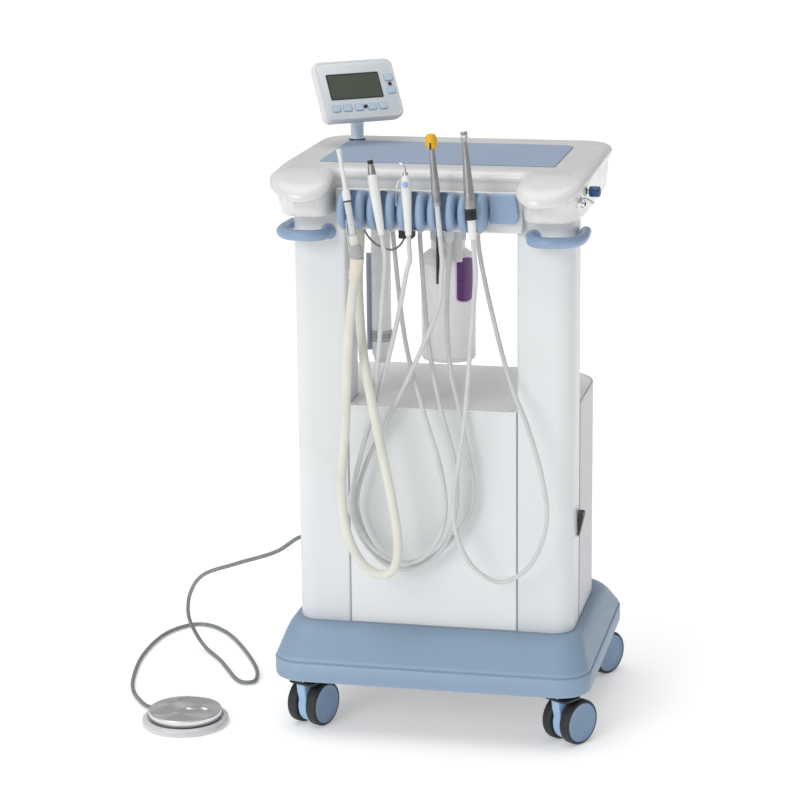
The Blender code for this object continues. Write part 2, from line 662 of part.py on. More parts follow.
turned("motor_handpiece", "ring_black", MOTOR,
       [(0.0050, END), (0.0064, -0.026), (0.0066, -0.0045), (0.0094, -0.0030), (0.0094, 0.0132)])
turned("contra_angle", "hand_steel", MOTOR,
       [(0.0088, 0.0132 + GAP), (0.0090, 0.0240), (0.0076, 0.0480), (0.0056, 0.0880), (0.0043, 0.1150),
        (0.0054, 0.1210), (0.0054, 0.1320)])

# ---------------------------------------------------------------- hoses
HOSE_D = 0.0075
UNDER = TRAY_Z0 - GAP


def route(line, points):
    """Leave the instrument along its own axis, then follow the points."""
    return [line.at(END - GAP), line.at(END - 0.020), line.at(END - 0.038)] + points


hose("hose_suction", "hose_cream", route(SUCTION, [
    (-0.106, -0.263, 0.770), (-0.117, -0.262, 0.673), (-0.124, -0.262, 0.535), (-0.132, -0.262, 0.435),
    (-0.124, -0.262, 0.359), (-0.098, -0.262, 0.307), (-0.064, -0.262, 0.291), (-0.044, -0.262, 0.313),
    (-0.042, -0.262, 0.359), (-0.052, -0.262, 0.427), (-0.067, -0.262, 0.502), (-0.081, -0.258, 0.572),
    (-0.097, -0.236, 0.629), (-0.111, -0.203, 0.687), (-0.121, -0.170, 0.749), (-0.122, -0.150, 0.810),
    (-0.122, -0.146, 0.845), (-0.122, -0.146, UNDER)]), 0.0150, 0.032)
hose("hose_scaler", "hose_grey", route(SCALER, [
    (-0.063, -0.254, 0.740), (-0.082, -0.238, 0.582), (-0.108, -0.231, 0.475), (-0.121, -0.230, 0.398),
    (-0.100, -0.230, 0.338), (-0.057, -0.230, 0.306), (-0.013, -0.230, 0.310), (0.019, -0.230, 0.349),
    (0.030, -0.230, 0.402), (0.020, -0.230, 0.473), (-0.007, -0.222, 0.557), (-0.044, -0.180, 0.660),
    (-0.072, -0.124, 0.797), (-0.075, -0.120, 0.840), (-0.075, -0.120, UNDER)]), HOSE_D, 0.0225)
hose("hose_syringe", "hose_grey", route(SYRINGE, [
    (-0.026, -0.247, 0.783), (-0.037, -0.243, 0.730), (-0.058, -0.235, 0.645), (-0.094, -0.221, 0.529),
    (-0.120, -0.218, 0.439), (-0.127, -0.218, 0.382), (-0.103, -0.218, 0.326), (-0.060, -0.218, 0.290),
    (-0.012, -0.218, 0.296), (0.028, -0.218, 0.337), (0.045, -0.218, 0.399), (0.043, -0.218, 0.471),
    (0.021, -0.214, 0.553), (-0.006, -0.175, 0.649), (-0.029, -0.124, 0.797), (-0.030, -0.120, 0.840),
    (-0.030, -0.120, UNDER)]), HOSE_D, 0.0225)
hose("hose_turbine", "hose_grey", route(TURBINE, [
    (0.029, -0.246, 0.780), (0.022, -0.238, 0.727), (-0.017, -0.225, 0.635), (-0.075, -0.207, 0.519),
    (-0.108, -0.206, 0.448), (-0.120, -0.206, 0.387), (-0.100, -0.206, 0.327), (-0.054, -0.206, 0.286),
    (-0.006, -0.206, 0.303), (0.038, -0.206, 0.342), (0.066, -0.206, 0.389), (0.070, -0.206, 0.437),
    (0.060, -0.206, 0.493), (0.049, -0.205, 0.552), (0.031, -0.185, 0.613), (0.019, -0.155, 0.690),
    (0.017, -0.122, 0.785), (0.017, -0.120, 0.835), (0.017, -0.120, UNDER)]), HOSE_D, 0.0225)
hose("hose_motor", "hose_grey", route(MOTOR, [
    (0.0870, -0.266, 0.785), (0.083, -0.258, 0.749), (0.074, -0.250, 0.654), (0.065, -0.243, 0.558),
    (0.054, -0.242, 0.478), (0.046, -0.242, 0.418), (0.049, -0.242, 0.362), (0.076, -0.242, 0.307),
    (0.123, -0.242, 0.284), (0.170, -0.242, 0.317), (0.194, -0.242, 0.382), (0.189, -0.242, 0.450),
    (0.165, -0.238, 0.535), (0.130, -0.212, 0.609), (0.091, -0.160, 0.712), (0.066, -0.123, 0.795),
    (0.064, -0.120, 0.840), (0.064, -0.120, UNDER)]), HOSE_D, 0.0225)
hose("hose_foot", "hose_dark", [
    (-COL_OUT - GAP, -0.075, 0.286), (-0.252, -0.075, 0.286), (-0.302, -0.045, 0.248), (-0.385, 0.000, 0.208),
    (-0.458, 0.050, 0.168), (-0.495, 0.090, 0.120), (-0.508, 0.115, 0.070), (-0.500, 0.130, 0.030),
    (-0.478, 0.118, 0.0075), (-0.440, 0.072, 0.0045), (-0.414, 0.030, 0.0045), (-0.386, -0.016, 0.0045),
    (-0.366, -0.032, 0.0045), (-0.350, -0.018, 0.0045), (-0.364, 0.040, 0.0045), (-0.414, 0.136, 0.0045),
    (-0.464, 0.210, 0.0045), (-0.512, 0.247, 0.0045), (-0.548, 0.236, 0.0045), (-0.576, 0.176, 0.0045),
    (-0.580, 0.068, 0.0045), (-0.563, -0.040, 0.0045), (-0.540, -0.112, 0.0050),
    (PEDAL_X - 0.1000 * 0.866, PEDAL_Y + 0.1000 * 0.5, 0.0062),
    (PEDAL_X - 0.0731 * 0.866, PEDAL_Y + 0.0731 * 0.5, 0.0062)], 0.0070, 0.022)

# ---------------------------------------------------------------- foot control
lathe("foot_base", "clear_white", (PEDAL_X, PEDAL_Y, 0.0), (0, 0, 1),
      [(0.0700, 0.0), (0.0726, 0.0020), (0.0726, 0.0100), (0.0705, 0.0125), (0.0640, 0.0125),
       (0.0625, 0.0080), (0.0, 0.0080)], 32)
lathe("foot_disc", "hand_steel", (PEDAL_X, PEDAL_Y, 0.0125), (0, 0, 1),
      [(0.0, 0.0120), (0.0540, 0.0115), (0.0585, 0.0095), (0.0590, 0.0), (0.0606, 0.0), (0.0606, 0.0115),
       (0.0590, 0.0135), (0.0540, 0.0145), (0.0, 0.0150)], 32)

# ---------------------------------------------------------------- bottle, canister, switch, valve
lathe("water_bottle", "clear_white", (0.0013, -0.050, 0.600), (0, 0, 1),
      [(0.0400, 0.0), (0.0445, 0.0060), (0.0445, 0.1600), (0.0420, 0.1720), (0.0290, 0.1820), (0.0275, 0.1980),
       (0.0180, 0.2040), (0.0180, 0.2617)], 28)
lathe("suction_canister", "clear_white", (-0.1110, -0.050, 0.590), (0, 0, 1),
      [(0.0120, 0.0), (0.0140, 0.0100), (0.0165, 0.0140), (0.0165, 0.2200), (0.0130, 0.2240), (0.0130, 0.2717)],
      20)
SWITCH = Vector((COL_OUT + 0.0048, -0.1390, 0.3575))
SWITCH_HALF_W = 0.0110
SWITCH_HALF_H = 0.0190


def switch_ring(z, out):
    """Section of the wedge-shaped rocker at one level."""
    low, high = SWITCH.y - SWITCH_HALF_W, SWITCH.y + SWITCH_HALF_W
    back = SWITCH.x - 0.0018
    return at_z([(back, low), (SWITCH.x + out, low), (SWITCH.x + out, high), (back, high)], z)


loft("mains_switch", "switch_black", [switch_ring(SWITCH.z - SWITCH_HALF_H, 0.0004),
                                      switch_ring(SWITCH.z + SWITCH_HALF_H - 0.0040, 0.0078),
                                      switch_ring(SWITCH.z + SWITCH_HALF_H, 0.0060)], origin=SWITCH, smooth=False)
VALVE = Vector((0.2440, -0.1760, 0.9050))
lathe("side_valve_knob", "knob_blue", VALVE, (1, 0, 0),
      [(0.0030, 0.0), (0.0030, 0.0050), (0.0076, 0.0056), (0.0080, 0.0070), (0.0080, 0.0210),
       (0.0068, 0.0226), (0.0, 0.0226)], 16, origin=VALVE)
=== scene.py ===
"""Looks of the mobile dental treatment unit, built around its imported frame.

Sizes are in metres. Shapes are written about the middle of the cart, as the
frame's own pieces are: CART carries that point into the frame, and it is
worked out from the two columns.
"""
import json
import math

import bmesh
import bpy
from mathutils import Matrix, Vector
from mathutils.geometry import delaunay_2d_cdt


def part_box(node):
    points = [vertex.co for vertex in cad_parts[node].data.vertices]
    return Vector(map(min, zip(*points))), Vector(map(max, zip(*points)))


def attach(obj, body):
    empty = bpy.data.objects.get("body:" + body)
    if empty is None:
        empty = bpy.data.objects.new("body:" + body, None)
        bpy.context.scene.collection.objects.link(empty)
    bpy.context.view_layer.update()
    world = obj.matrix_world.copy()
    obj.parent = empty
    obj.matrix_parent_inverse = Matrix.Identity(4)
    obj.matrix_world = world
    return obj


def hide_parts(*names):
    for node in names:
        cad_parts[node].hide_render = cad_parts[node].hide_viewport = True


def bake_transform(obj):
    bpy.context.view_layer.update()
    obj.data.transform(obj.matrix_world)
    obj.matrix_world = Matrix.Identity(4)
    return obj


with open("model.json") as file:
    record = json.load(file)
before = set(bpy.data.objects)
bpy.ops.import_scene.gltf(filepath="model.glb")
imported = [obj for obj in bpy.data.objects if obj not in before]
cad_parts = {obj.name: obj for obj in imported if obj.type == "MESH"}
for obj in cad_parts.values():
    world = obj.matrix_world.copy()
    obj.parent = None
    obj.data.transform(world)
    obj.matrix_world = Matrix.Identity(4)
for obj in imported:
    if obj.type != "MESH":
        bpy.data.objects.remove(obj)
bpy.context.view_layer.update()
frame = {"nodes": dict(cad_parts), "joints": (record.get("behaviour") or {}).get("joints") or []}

# ---------------------------------------------------------------- places read from the frame
COL_FRONT = -0.186
SIDES = (("left", -1), ("right", 1))
left_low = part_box("left_column")[0]
right_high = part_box("right_column")[1]
CART = Vector(((left_low.x + right_high.x) / 2, left_low.y - COL_FRONT, 0.0))


def node_box(node):
    """A node's lowest and highest corner, about the middle of the cart."""
    low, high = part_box(node)
    return low - CART, high - CART


def middle(node):
    """A node's middle and half its size."""
    low, high = node_box(node)
    return (low + high) / 2, (high - low) / 2


def joint(name):
    return [j for j in frame["joints"] if j["name"] == name][0]


def joint_place(name):
    """A hinge's point, about the middle of the cart."""
    return Vector(joint(name)["pos_m"]) - CART


def joint_axis(name):
    return Vector(joint(name)["axis"]).normalized()


# ---------------------------------------------------------------- shapes: (points, faces) pairs
def rounded(corners, steps=12):
    """Plan outline from (x, y, fillet radius) corners, anticlockwise."""
    out = []
    count = len(corners)
    for i in range(count):
        px, py, _ = corners[i - 1]
        cx, cy, r = corners[i]
        nx, ny, _ = corners[(i + 1) % count]
        here = Vector((cx, cy))
        to_prev = (Vector((px, py)) - here).normalized()
        to_next = (Vector((nx, ny)) - here).normalized()
        half = to_prev.angle(to_next) / 2.0
        start = here + to_prev * (r / math.tan(half))
        end = here + to_next * (r / math.tan(half))
        centre = here + (to_prev + to_next).normalized() * (r / math.sin(half))
        arm = start - centre
        turn = arm.angle_signed(end - centre)
        for k in range(steps + 1):
            c = math.cos(-turn * k / steps)
            s = math.sin(-turn * k / steps)
            out.append((centre.x + arm.x * c - arm.y * s, centre.y + arm.x * s + arm.y * c))
    return out


def mirrored(corners):
    """A corner list followed by its mirror image about the middle."""
    return corners + [(-x, y, r) for x, y, r in reversed(corners)]


def rect(x0, x1, y0, y1, r, steps=8):
    return rounded([(x0, y0, r), (x1, y0, r), (x1, y1, r), (x0, y1, r)], steps)


def inset(corners, dist, least=0.003):
    """Move every edge of a corner list inward; fillets follow."""
    count = len(corners)
    lines = []
    for i in range(count):
        a = Vector(corners[i][:2])
        b = Vector(corners[(i + 1) % count][:2])
        step = (b - a).normalized()
        lines.append((a + Vector((-step.y, step.x)) * dist, step))
    out = []
    for i in range(count):
        p, d = lines[i - 1]
        q, e = lines[i]
        cross = d.x * e.y - d.y * e.x
        t = ((q.x - p.x) * e.y - (q.y - p.y) * e.x) / cross
        spot = p + d * t
        r = corners[i][2]
        r = r - dist if cross > 0 else r + dist
        out.append((spot.x, spot.y, max(r, least)))
    return out


def mix(a, b, t):
    return [(p[0] + (q[0] - p[0]) * t, p[1] + (q[1] - p[1]) * t) for p, q in zip(a, b)]


def at_z(outline, z):
    return [Vector((x, y, z)) for x, y in outline]


def loft(rings, cap_start=True, cap_end=True, closed=False):
    """Skin a list of equal-length rings."""
    n = len(rings[0])
    verts = [Vector(p) for ring in rings for p in ring]
    faces = []
    spans = len(rings) if closed else len(rings) - 1
    for j in range(spans):
        a = j * n
        b = ((j + 1) % len(rings)) * n
        for i in range(n):
            k = (i + 1) % n
            faces.append((a + i, a + k, b + k, b + i))
    if cap_start and not closed:
        faces.append(tuple(reversed(range(n))))
    if cap_end and not closed:
        faces.append(tuple(range((len(rings) - 1) * n, len(rings) * n)))
    return verts, faces


def axes_for(direction):
    w = Vector(direction).normalized()
    side = Vector((1, 0, 0)) if abs(w.x) < 0.8 else Vector((0, 1, 0))
    u = side.cross(w).normalized()
    return u, w.cross(u), w


def curve_through(points, per_span=6):
    """Catmull-Rom points through a 2-D or 3-D list."""
    pts = [Vector(p) for p in points]
    pts = [pts[0] * 2 - pts[1]] + pts + [pts[-1] * 2 - pts[-2]]
    out = []
    for i in range(1, len(pts) - 2):
        p0, p1, p2, p3 = pts[i - 1:i + 3]
        for k in range(per_span):
            t = k / per_span
            out.append(0.5 * ((2 * p1) + (p2 - p0) * t + (2 * p0 - 5 * p1 + 4 * p2 - p3) * t * t
                + (3 * p1 - p0 - 3 * p2 + p3) * t ** 3))
    out.append(pts[-2])
    return out


def even(points, spacing):
    """The smooth curve through the points, read at even spacing."""
    fine = curve_through(points, 16)
    total = sum((b - a).length for a, b in zip(fine, fine[1:]))
    count = max(2, round(total / spacing))
    out = [fine[0]]
    run = 0.0
    for a, b in zip(fine, fine[1:]):
        seg = (b - a).length
        while len(out) < count and len(out) * total / count <= run + seg + 1e-9:
            out.append(a + (b - a) * ((len(out) * total / count - run) / seg))
        run += seg
    out.append(fine[-1])
    return out


def path_length(path):
    return sum((b - a).length for a, b in zip(path, path[1:]))


def lathe(base, direction, profile, segments=48):
    """Turn (radius, height) stations about the line from base along direction."""
    base = Vector(base)
    u, v, w = axes_for(direction)
    verts = []
    rows = []
    for r, h in profile:
        if r <= 0.0:
            rows.append([len(verts)])
            verts.append(base + w * h)
            continue
        row = []
        for i in range(segments):
            t = 2 * math.pi * i / segments
            row.append(len(verts))
            verts.append(base + w * h + (u * math.cos(t) + v * math.sin(t)) * r)
        rows.append(row)
    faces = []
    for a, b in zip(rows, rows[1:]):
        for i in range(segments):
            k = (i + 1) % segments
            if len(a) == 1:
                faces.append((a[0], b[k], b[i]))
            elif len(b) == 1:
                faces.append((a[i], a[k], b[0]))
            else:
                faces.append((a[i], a[k], b[k], b[i]))
    if len(rows[0]) > 1:
        faces.append(tuple(reversed(rows[0])))
    if len(rows[-1]) > 1:
        faces.append(tuple(rows[-1]))
    return verts, faces


def tube(path, radius, segments=20, flat=1.0):
    """Round bar along a path; radius is a number or a function of 0..1."""
    tangents = []
    for i in range(len(path)):
        a = path[max(i - 1, 0)]
        b = path[min(i + 1, len(path) - 1)]
        tangents.append((b - a).normalized())
    u, _, _ = axes_for(tangents[0])
    rings = []
    for i, (p, t) in enumerate(zip(path, tangents)):
        u = (u - t * u.dot(t)).normalized()
        v = t.cross(u)
        r = radius(i / (len(path) - 1)) if callable(radius) else radius
        ring = []
        for k in range(segments):
            turn = 2 * math.pi * k / segments
            ring.append(p + u * math.cos(turn) * r + v * math.sin(turn) * r * flat)
        rings.append(ring)
    return loft(rings)


def block(low, high):
    """Six-sided block; piece() rounds its edges."""
    ring = [(low[0], low[1]), (high[0], low[1]), (high[0], high[1]), (low[0], high[1])]
    return loft([at_z(ring, low[2]), at_z(ring, high[2])])


def plate(outline, half, place):
    """Flat piece of thickness 2 x half with a (t, z) outline."""
    return loft([[place(t, -half, z) for t, z in outline], [place(t, half, z) for t, z in outline]])


def together(*shapes):
    verts = []
    faces = []
    for v, f in shapes:
        start = len(verts)
        verts += v
        faces += [tuple(i + start for i in face) for face in f]
    return verts, faces


# ---------------------------------------------------------------- pieces
def piece(name, shape, body, finish, replaces=(), origin=(0, 0, 0), bevel=0.0, subdivide=0,
        sharp=38.0):
    """Make one piece of the object in place and let it ride on a body."""
    verts, faces = shape
    pivot = Vector(origin)
    mesh = bpy.data.meshes.new(name)
    mesh.from_pydata([Vector(v) - pivot for v in verts], [], faces)
    bm = bmesh.new()
    bm.from_mesh(mesh)
    bmesh.ops.remove_doubles(bm, verts=bm.verts, dist=1e-6)
    bmesh.ops.recalc_face_normals(bm, faces=bm.faces)
    bm.to_mesh(mesh)
    bm.free()
    for poly in mesh.polygons:
        poly.use_smooth = True
    if not bevel and not subdivide:
        mesh.set_sharp_from_angle(angle=math.radians(sharp))
    obj = bpy.data.objects.new(name, mesh)
    obj.location = pivot + CART
    bpy.context.scene.collection.objects.link(obj)
    mesh.materials.append(finish)
    if bevel:
        edge = obj.modifiers.new("edges", "BEVEL")
        edge.width = bevel
        edge.segments = 3
        edge.limit_method = "ANGLE"
        edge.angle_limit = math.radians(sharp)
        edge.harden_normals = True
    if subdivide:
        smooth = obj.modifiers.new("smooth", "SUBSURF")
        smooth.levels = subdivide
        smooth.render_levels = subdivide
    if body:
        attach(obj, body)
    if replaces:
        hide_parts(*replaces)
    return obj


# ---------------------------------------------------------------- finishes
def shader_of(name):
    mat = bpy.data.materials.new(name)
    mat.use_nodes = True
    tree = mat.node_tree
    return mat, tree, tree.nodes["Principled BSDF"]


def add_node(tree, kind, **values):
    node = tree.nodes.new(kind)
    for key, value in values.items():
        if key in node.inputs:
            node.inputs[key].default_value = value
        else:
            setattr(node, key, value)
    return node


def noise(tree, coords, scale, detail=3.0, stretch=None):
    """Noise read in metres, optionally squeezed along an axis."""
    vector = coords.outputs["Object"]
    if stretch:
        squeeze = add_node(tree, "ShaderNodeMapping")
        squeeze.inputs["Scale"].default_value = stretch
        tree.links.new(vector, squeeze.inputs["Vector"])
        vector = squeeze.outputs["Vector"]
    node = add_node(tree, "ShaderNodeTexNoise")
    node.inputs["Scale"].default_value = scale
    node.inputs["Detail"].default_value = detail
    tree.links.new(vector, node.inputs["Vector"])
    return node.outputs["Fac"]


def spread(tree, fac, low, high):
    """Map the middle of a noise to a range."""
    node = add_node(tree, "ShaderNodeMapRange")
    node.inputs["From Min"].default_value = 0.3
    node.inputs["From Max"].default_value = 0.7
    node.inputs["To Min"].default_value = low
    node.inputs["To Max"].default_value = high
    tree.links.new(fac, node.inputs["Value"])
    return node.outputs["Result"]


def two_tone(tree, fac, dark, light):
    node = add_node(tree, "ShaderNodeValToRGB")
    node.color_ramp.elements[0].position = 0.32
    node.color_ramp.elements[0].color = (*dark, 1.0)
    node.color_ramp.elements[1].position = 0.68
    node.color_ramp.elements[1].color = (*light, 1.0)
    tree.links.new(fac, node.inputs["Fac"])
    return node.outputs["Color"]


def shade(colour, k):
    return tuple(min(1.0, c * k) for c in colour)


def finish(name, colour, rough, metal=0.0, mottle=0.03, cloud=9.0, rough_spread=0.06, grain=900.0,
        grain_depth=0.00004, stretch=None, coat=0.0, sheen=0.0, clear=0.0, under=0.0, ior=1.5, edge=0.0):
    """Moulded, painted or metal surface with mottling, uneven gloss and a fine grain; edge adds a painted
    highlight along convex edges.
    """
    mat, tree, bsdf = shader_of(name)
    coords = add_node(tree, "ShaderNodeTexCoord")
    tone = noise(tree, coords, cloud, 4.0)
    base = two_tone(tree, tone, shade(colour, 1.0 - mottle), shade(colour, 1.0 + mottle))
    # edge lightens convex edges found by pointiness: a painted highlight.
    if edge:
        geometry = add_node(tree, "ShaderNodeNewGeometry")
        edge_highlight_mask = add_node(tree, "ShaderNodeMapRange")
        edge_highlight_mask.inputs["From Min"].default_value = 0.515
        edge_highlight_mask.inputs["From Max"].default_value = 0.6
        tree.links.new(geometry.outputs["Pointiness"], edge_highlight_mask.inputs["Value"])
        edge_highlight_mix = add_node(tree, "ShaderNodeMix", data_type="RGBA")
        tree.links.new(edge_highlight_mask.outputs["Result"], edge_highlight_mix.inputs["Factor"])
        tree.links.new(base, edge_highlight_mix.inputs[6])
        edge_highlight_mix.inputs[7].default_value = (*shade(colour, 1.0 + edge), 1.0)
        base = edge_highlight_mix.outputs[2]
    tree.links.new(base, bsdf.inputs["Base Color"])
    gloss = noise(tree, coords, grain * 0.08, 3.0, stretch)
    tree.links.new(spread(tree, gloss, rough - rough_spread, rough + rough_spread), bsdf.inputs["Roughness"])
    fine = noise(tree, coords, grain, 2.0, stretch)
    bump = add_node(tree, "ShaderNodeBump", Strength=1.0, Distance=grain_depth)
    tree.links.new(fine, bump.inputs["Height"])
    tree.links.new(bump.outputs["Normal"], bsdf.inputs["Normal"])
    bsdf.inputs["Metallic"].default_value = metal
    bsdf.inputs["IOR"].default_value = ior
    bsdf.inputs["Coat Weight"].default_value = coat
    bsdf.inputs["Coat Roughness"].default_value = 0.12
    bsdf.inputs["Sheen Weight"].default_value = sheen
    bsdf.inputs["Transmission Weight"].default_value = clear
    bsdf.inputs["Subsurface Weight"].default_value = under
    bsdf.inputs["Subsurface Radius"].default_value = (0.006, 0.006, 0.006)
    bsdf.inputs["Subsurface Scale"].default_value = 1.0
    return mat


def turned_finish(name, colour, rough, depth=0.00002, lines=2600.0):
    """Metal with concentric turning marks about its piece's own axis."""
    mat, tree, bsdf = shader_of(name)
    coords = add_node(tree, "ShaderNodeTexCoord")
    flat = add_node(tree, "ShaderNodeVectorMath", operation="MULTIPLY")
    flat.inputs[1].default_value = (1.0, 1.0, 0.0)
    tree.links.new(coords.outputs["Object"], flat.inputs[0])
    radius = add_node(tree, "ShaderNodeVectorMath", operation="LENGTH")
    tree.links.new(flat.outputs["Vector"], radius.inputs[0])
    marks = add_node(tree, "ShaderNodeTexNoise", noise_dimensions="1D")
    marks.inputs["Scale"].default_value = lines
    marks.inputs["Detail"].default_value = 2.0
    tree.links.new(radius.outputs["Value"], marks.inputs["W"])
    fac = marks.outputs["Fac"]
    tree.links.new(two_tone(tree, fac, shade(colour, 0.93), shade(colour, 1.05)), bsdf.inputs["Base Color"])
    tree.links.new(spread(tree, fac, rough - 0.06, rough + 0.08), bsdf.inputs["Roughness"])
    bump = add_node(tree, "ShaderNodeBump", Strength=1.0, Distance=depth)
    tree.links.new(fac, bump.inputs["Height"])
    tree.links.new(bump.outputs["Normal"], bsdf.inputs["Normal"])
    bsdf.inputs["Metallic"].default_value = 1.0
    bsdf.inputs["Anisotropic"].default_value = 0.6
    return mat


SHELL_WHITE = finish("shell_white", (0.755, 0.775, 0.785), 0.36, mottle=0.012, grain=1400.0,
    grain_depth=0.00003)
# Painted shade: a darkened copy of the shell white, used on the rear housing and the switch bezel so that
# the sides away from the key light look shaded.
SHADED_SIDE_WHITE = finish("side_white_painted_shade", (0.6, 0.6, 0.63), 0.4, mottle=0.015, grain=1400.0, grain_depth=0.00004)
TRAY_WHITE = finish("tray_white", (0.72, 0.72, 0.715), 0.27, mottle=0.012, grain=260.0, grain_depth=0.00006,
    coat=0.25, rough_spread=0.05)
# The edge values on the base, holder, hub and knob finishes paint a highlight along convex edges.
BASE_BLUE = finish("base_blue", (0.235, 0.33, 0.45), 0.42, mottle=0.03, cloud=6.0, grain=1100.0,
    grain_depth=0.00007, edge=0.3)
HOLDER_BLUE = finish("holder_blue", (0.265, 0.37, 0.52), 0.36, mottle=0.035, cloud=30.0, grain=1500.0,
    grain_depth=0.00005, edge=0.35)
HANDLE_BLUE = finish("handle_blue", (0.265, 0.375, 0.545), 0.36, mottle=0.03, cloud=22.0, grain=1500.0,
    grain_depth=0.00004, coat=0.2)
POST_BLUE = finish("post_blue", (0.72, 0.85, 0.98), 0.34, mottle=0.02, cloud=30.0, coat=0.2)
MAT_BLUE = finish("mat_blue", (0.285, 0.37, 0.51), 0.55, mottle=0.03, cloud=16.0, grain=2600.0,
    grain_depth=0.0001, sheen=0.15)
SHELF_GREY = finish("shelf_grey", (0.9, 0.9, 0.9), 0.42, metal=0.0, mottle=0.05, cloud=5.0, grain=1200.0,
    grain_depth=0.00005, stretch=(0.03, 1.0, 1.0), rough_spread=0.1)
DECK_GREY = finish("deck_grey", (0.3, 0.31, 0.33), 0.5, metal=0.6, mottle=0.08, grain=700.0)
SEAM_GREY = finish("seam_grey", (0.36, 0.38, 0.41), 0.6, mottle=0.05, grain=900.0)
TYRE = finish("tyre_black", (0.022, 0.023, 0.025), 0.58, mottle=0.2, cloud=60.0, grain=1800.0,
    grain_depth=0.0001, rough_spread=0.1)
HUB_BLUE = finish("hub_blue", (0.19, 0.3, 0.46), 0.33, mottle=0.03, cloud=40.0, coat=0.2, edge=0.25)
HOOD_BLUE = finish("hood_blue", (0.33, 0.52, 0.74), 0.33, mottle=0.03, cloud=40.0, coat=0.2)
BLACK = finish("moulded_black", (0.015, 0.016, 0.018), 0.38, mottle=0.15, cloud=50.0, grain=1600.0)
DISPLAY_WHITE = finish("display_white", (0.73, 0.74, 0.76), 0.36, mottle=0.012, grain=1700.0,
    grain_depth=0.00004)
FACE_WHITE = finish("face_white", (0.7, 0.75, 0.78), 0.3, mottle=0.012, cloud=30.0, grain=2600.0,
    grain_depth=0.00002)
KEY_BLUE = finish("key_blue", (0.5, 0.63, 0.76), 0.45, mottle=0.03, cloud=120.0, grain=2600.0)
KEY_RIM = finish("key_rim", (0.44, 0.48, 0.56), 0.45, mottle=0.03, cloud=120.0)
LCD = finish("lcd_olive", (0.07, 0.083, 0.06), 0.16, mottle=0.05, cloud=45.0, grain=3000.0,
    grain_depth=0.000004, rough_spread=0.03, coat=0.5)
LCD_RIM = finish("lcd_rim", (0.022, 0.03, 0.036), 0.28, mottle=0.1, cloud=90.0)
HAND_WHITE = finish("hand_white", (0.8, 0.8, 0.8), 0.28, mottle=0.015, cloud=60.0, coat=0.3, under=0.05)
TUBE_WHITE = finish("tube_white", (0.74, 0.76, 0.78), 0.3, mottle=0.03, cloud=60.0, clear=0.15, coat=0.2)
HAND_STEEL = finish("hand_steel", (0.42, 0.42, 0.43), 0.34, metal=0.9, mottle=0.06, cloud=90.0, grain=1600.0,
    grain_depth=0.00003, stretch=(1.0, 1.0, 0.05))
CHROME = finish("chrome", (0.72, 0.73, 0.74), 0.14, metal=1.0, mottle=0.03, cloud=60.0, rough_spread=0.04,
    grain_depth=0.00001)
YELLOW = finish("cap_yellow", (0.74, 0.44, 0.004), 0.38, mottle=0.05, cloud=120.0, under=0.1)
BUTTON_BLUE = finish("button_blue", (0.26, 0.5, 0.86), 0.3, mottle=0.03, cloud=120.0, coat=0.4)
SILICONE = finish("hose_silicone", (0.6, 0.61, 0.61), 0.4, mottle=0.05, cloud=28.0, grain=1200.0,
    grain_depth=0.00004, sheen=0.1, under=0.06)
CREAM = finish("hose_cream", (0.71, 0.71, 0.63), 0.42, mottle=0.05, cloud=26.0, grain=1200.0,
    grain_depth=0.00004, sheen=0.1, under=0.1)
CUFF_CREAM = finish("cuff_cream", (0.73, 0.67, 0.57), 0.45, mottle=0.05, cloud=60.0, under=0.1)
FOOT_HOSE = finish("hose_dark", (0.2, 0.215, 0.215), 0.46, mottle=0.1, cloud=120.0, grain=1500.0,
    grain_depth=0.0001)
GLAND_WHITE = finish("gland_white", (0.64, 0.65, 0.66), 0.42, mottle=0.03, cloud=60.0)
BOTTLE = finish("bottle_clear", (0.93, 0.93, 0.92), 0.3, mottle=0.02, cloud=14.0, clear=0.03, under=0.15,
    grain=160.0, grain_depth=0.0001)
CANISTER = finish("canister_clear", (0.93, 0.93, 0.95), 0.24, mottle=0.02, cloud=14.0, clear=0.05,
    under=0.15, grain=160.0, grain_depth=0.00008)
STRIPE = finish("stripe_blue", (0.36, 0.4, 0.52), 0.45, mottle=0.04, cloud=40.0)
FITTING_GREY = finish("fitting_grey", (0.4, 0.41, 0.42), 0.45, mottle=0.05, cloud=80.0)
LABEL = finish("label_purple", (0.105, 0.018, 0.155), 0.3, mottle=0.06, cloud=90.0, coat=0.3)
LABEL_RIM = finish("label_rim", (0.72, 0.58, 0.78), 0.35, mottle=0.02)
KNOB_BLUE = finish("knob_blue", (0.006, 0.05, 0.155), 0.34, mottle=0.06, cloud=120.0, coat=0.2, edge=0.4)
CASTING = finish("compressor_blue", (0.06, 0.1, 0.22), 0.5, mottle=0.15, cloud=40.0, grain=500.0,
    grain_depth=0.0002)
DISC_STEEL = turned_finish("disc_steel", (0.78, 0.765, 0.77), 0.33)
FOOT_CLEAR = finish("foot_clear", (0.74, 0.75, 0.77), 0.22, mottle=0.03, cloud=30.0, clear=0.2, coat=0.3)


# ---------------------------------------------------------------- camera
CAMERA_AT = Vector((0.8393, -4.2659, 1.6397))
CAMERA_AZIMUTH = math.radians(12.32)
CAMERA_PITCH = math.radians(14.48)
CAMERA_ROLL = math.radians(-0.622)
LENS = 121.5


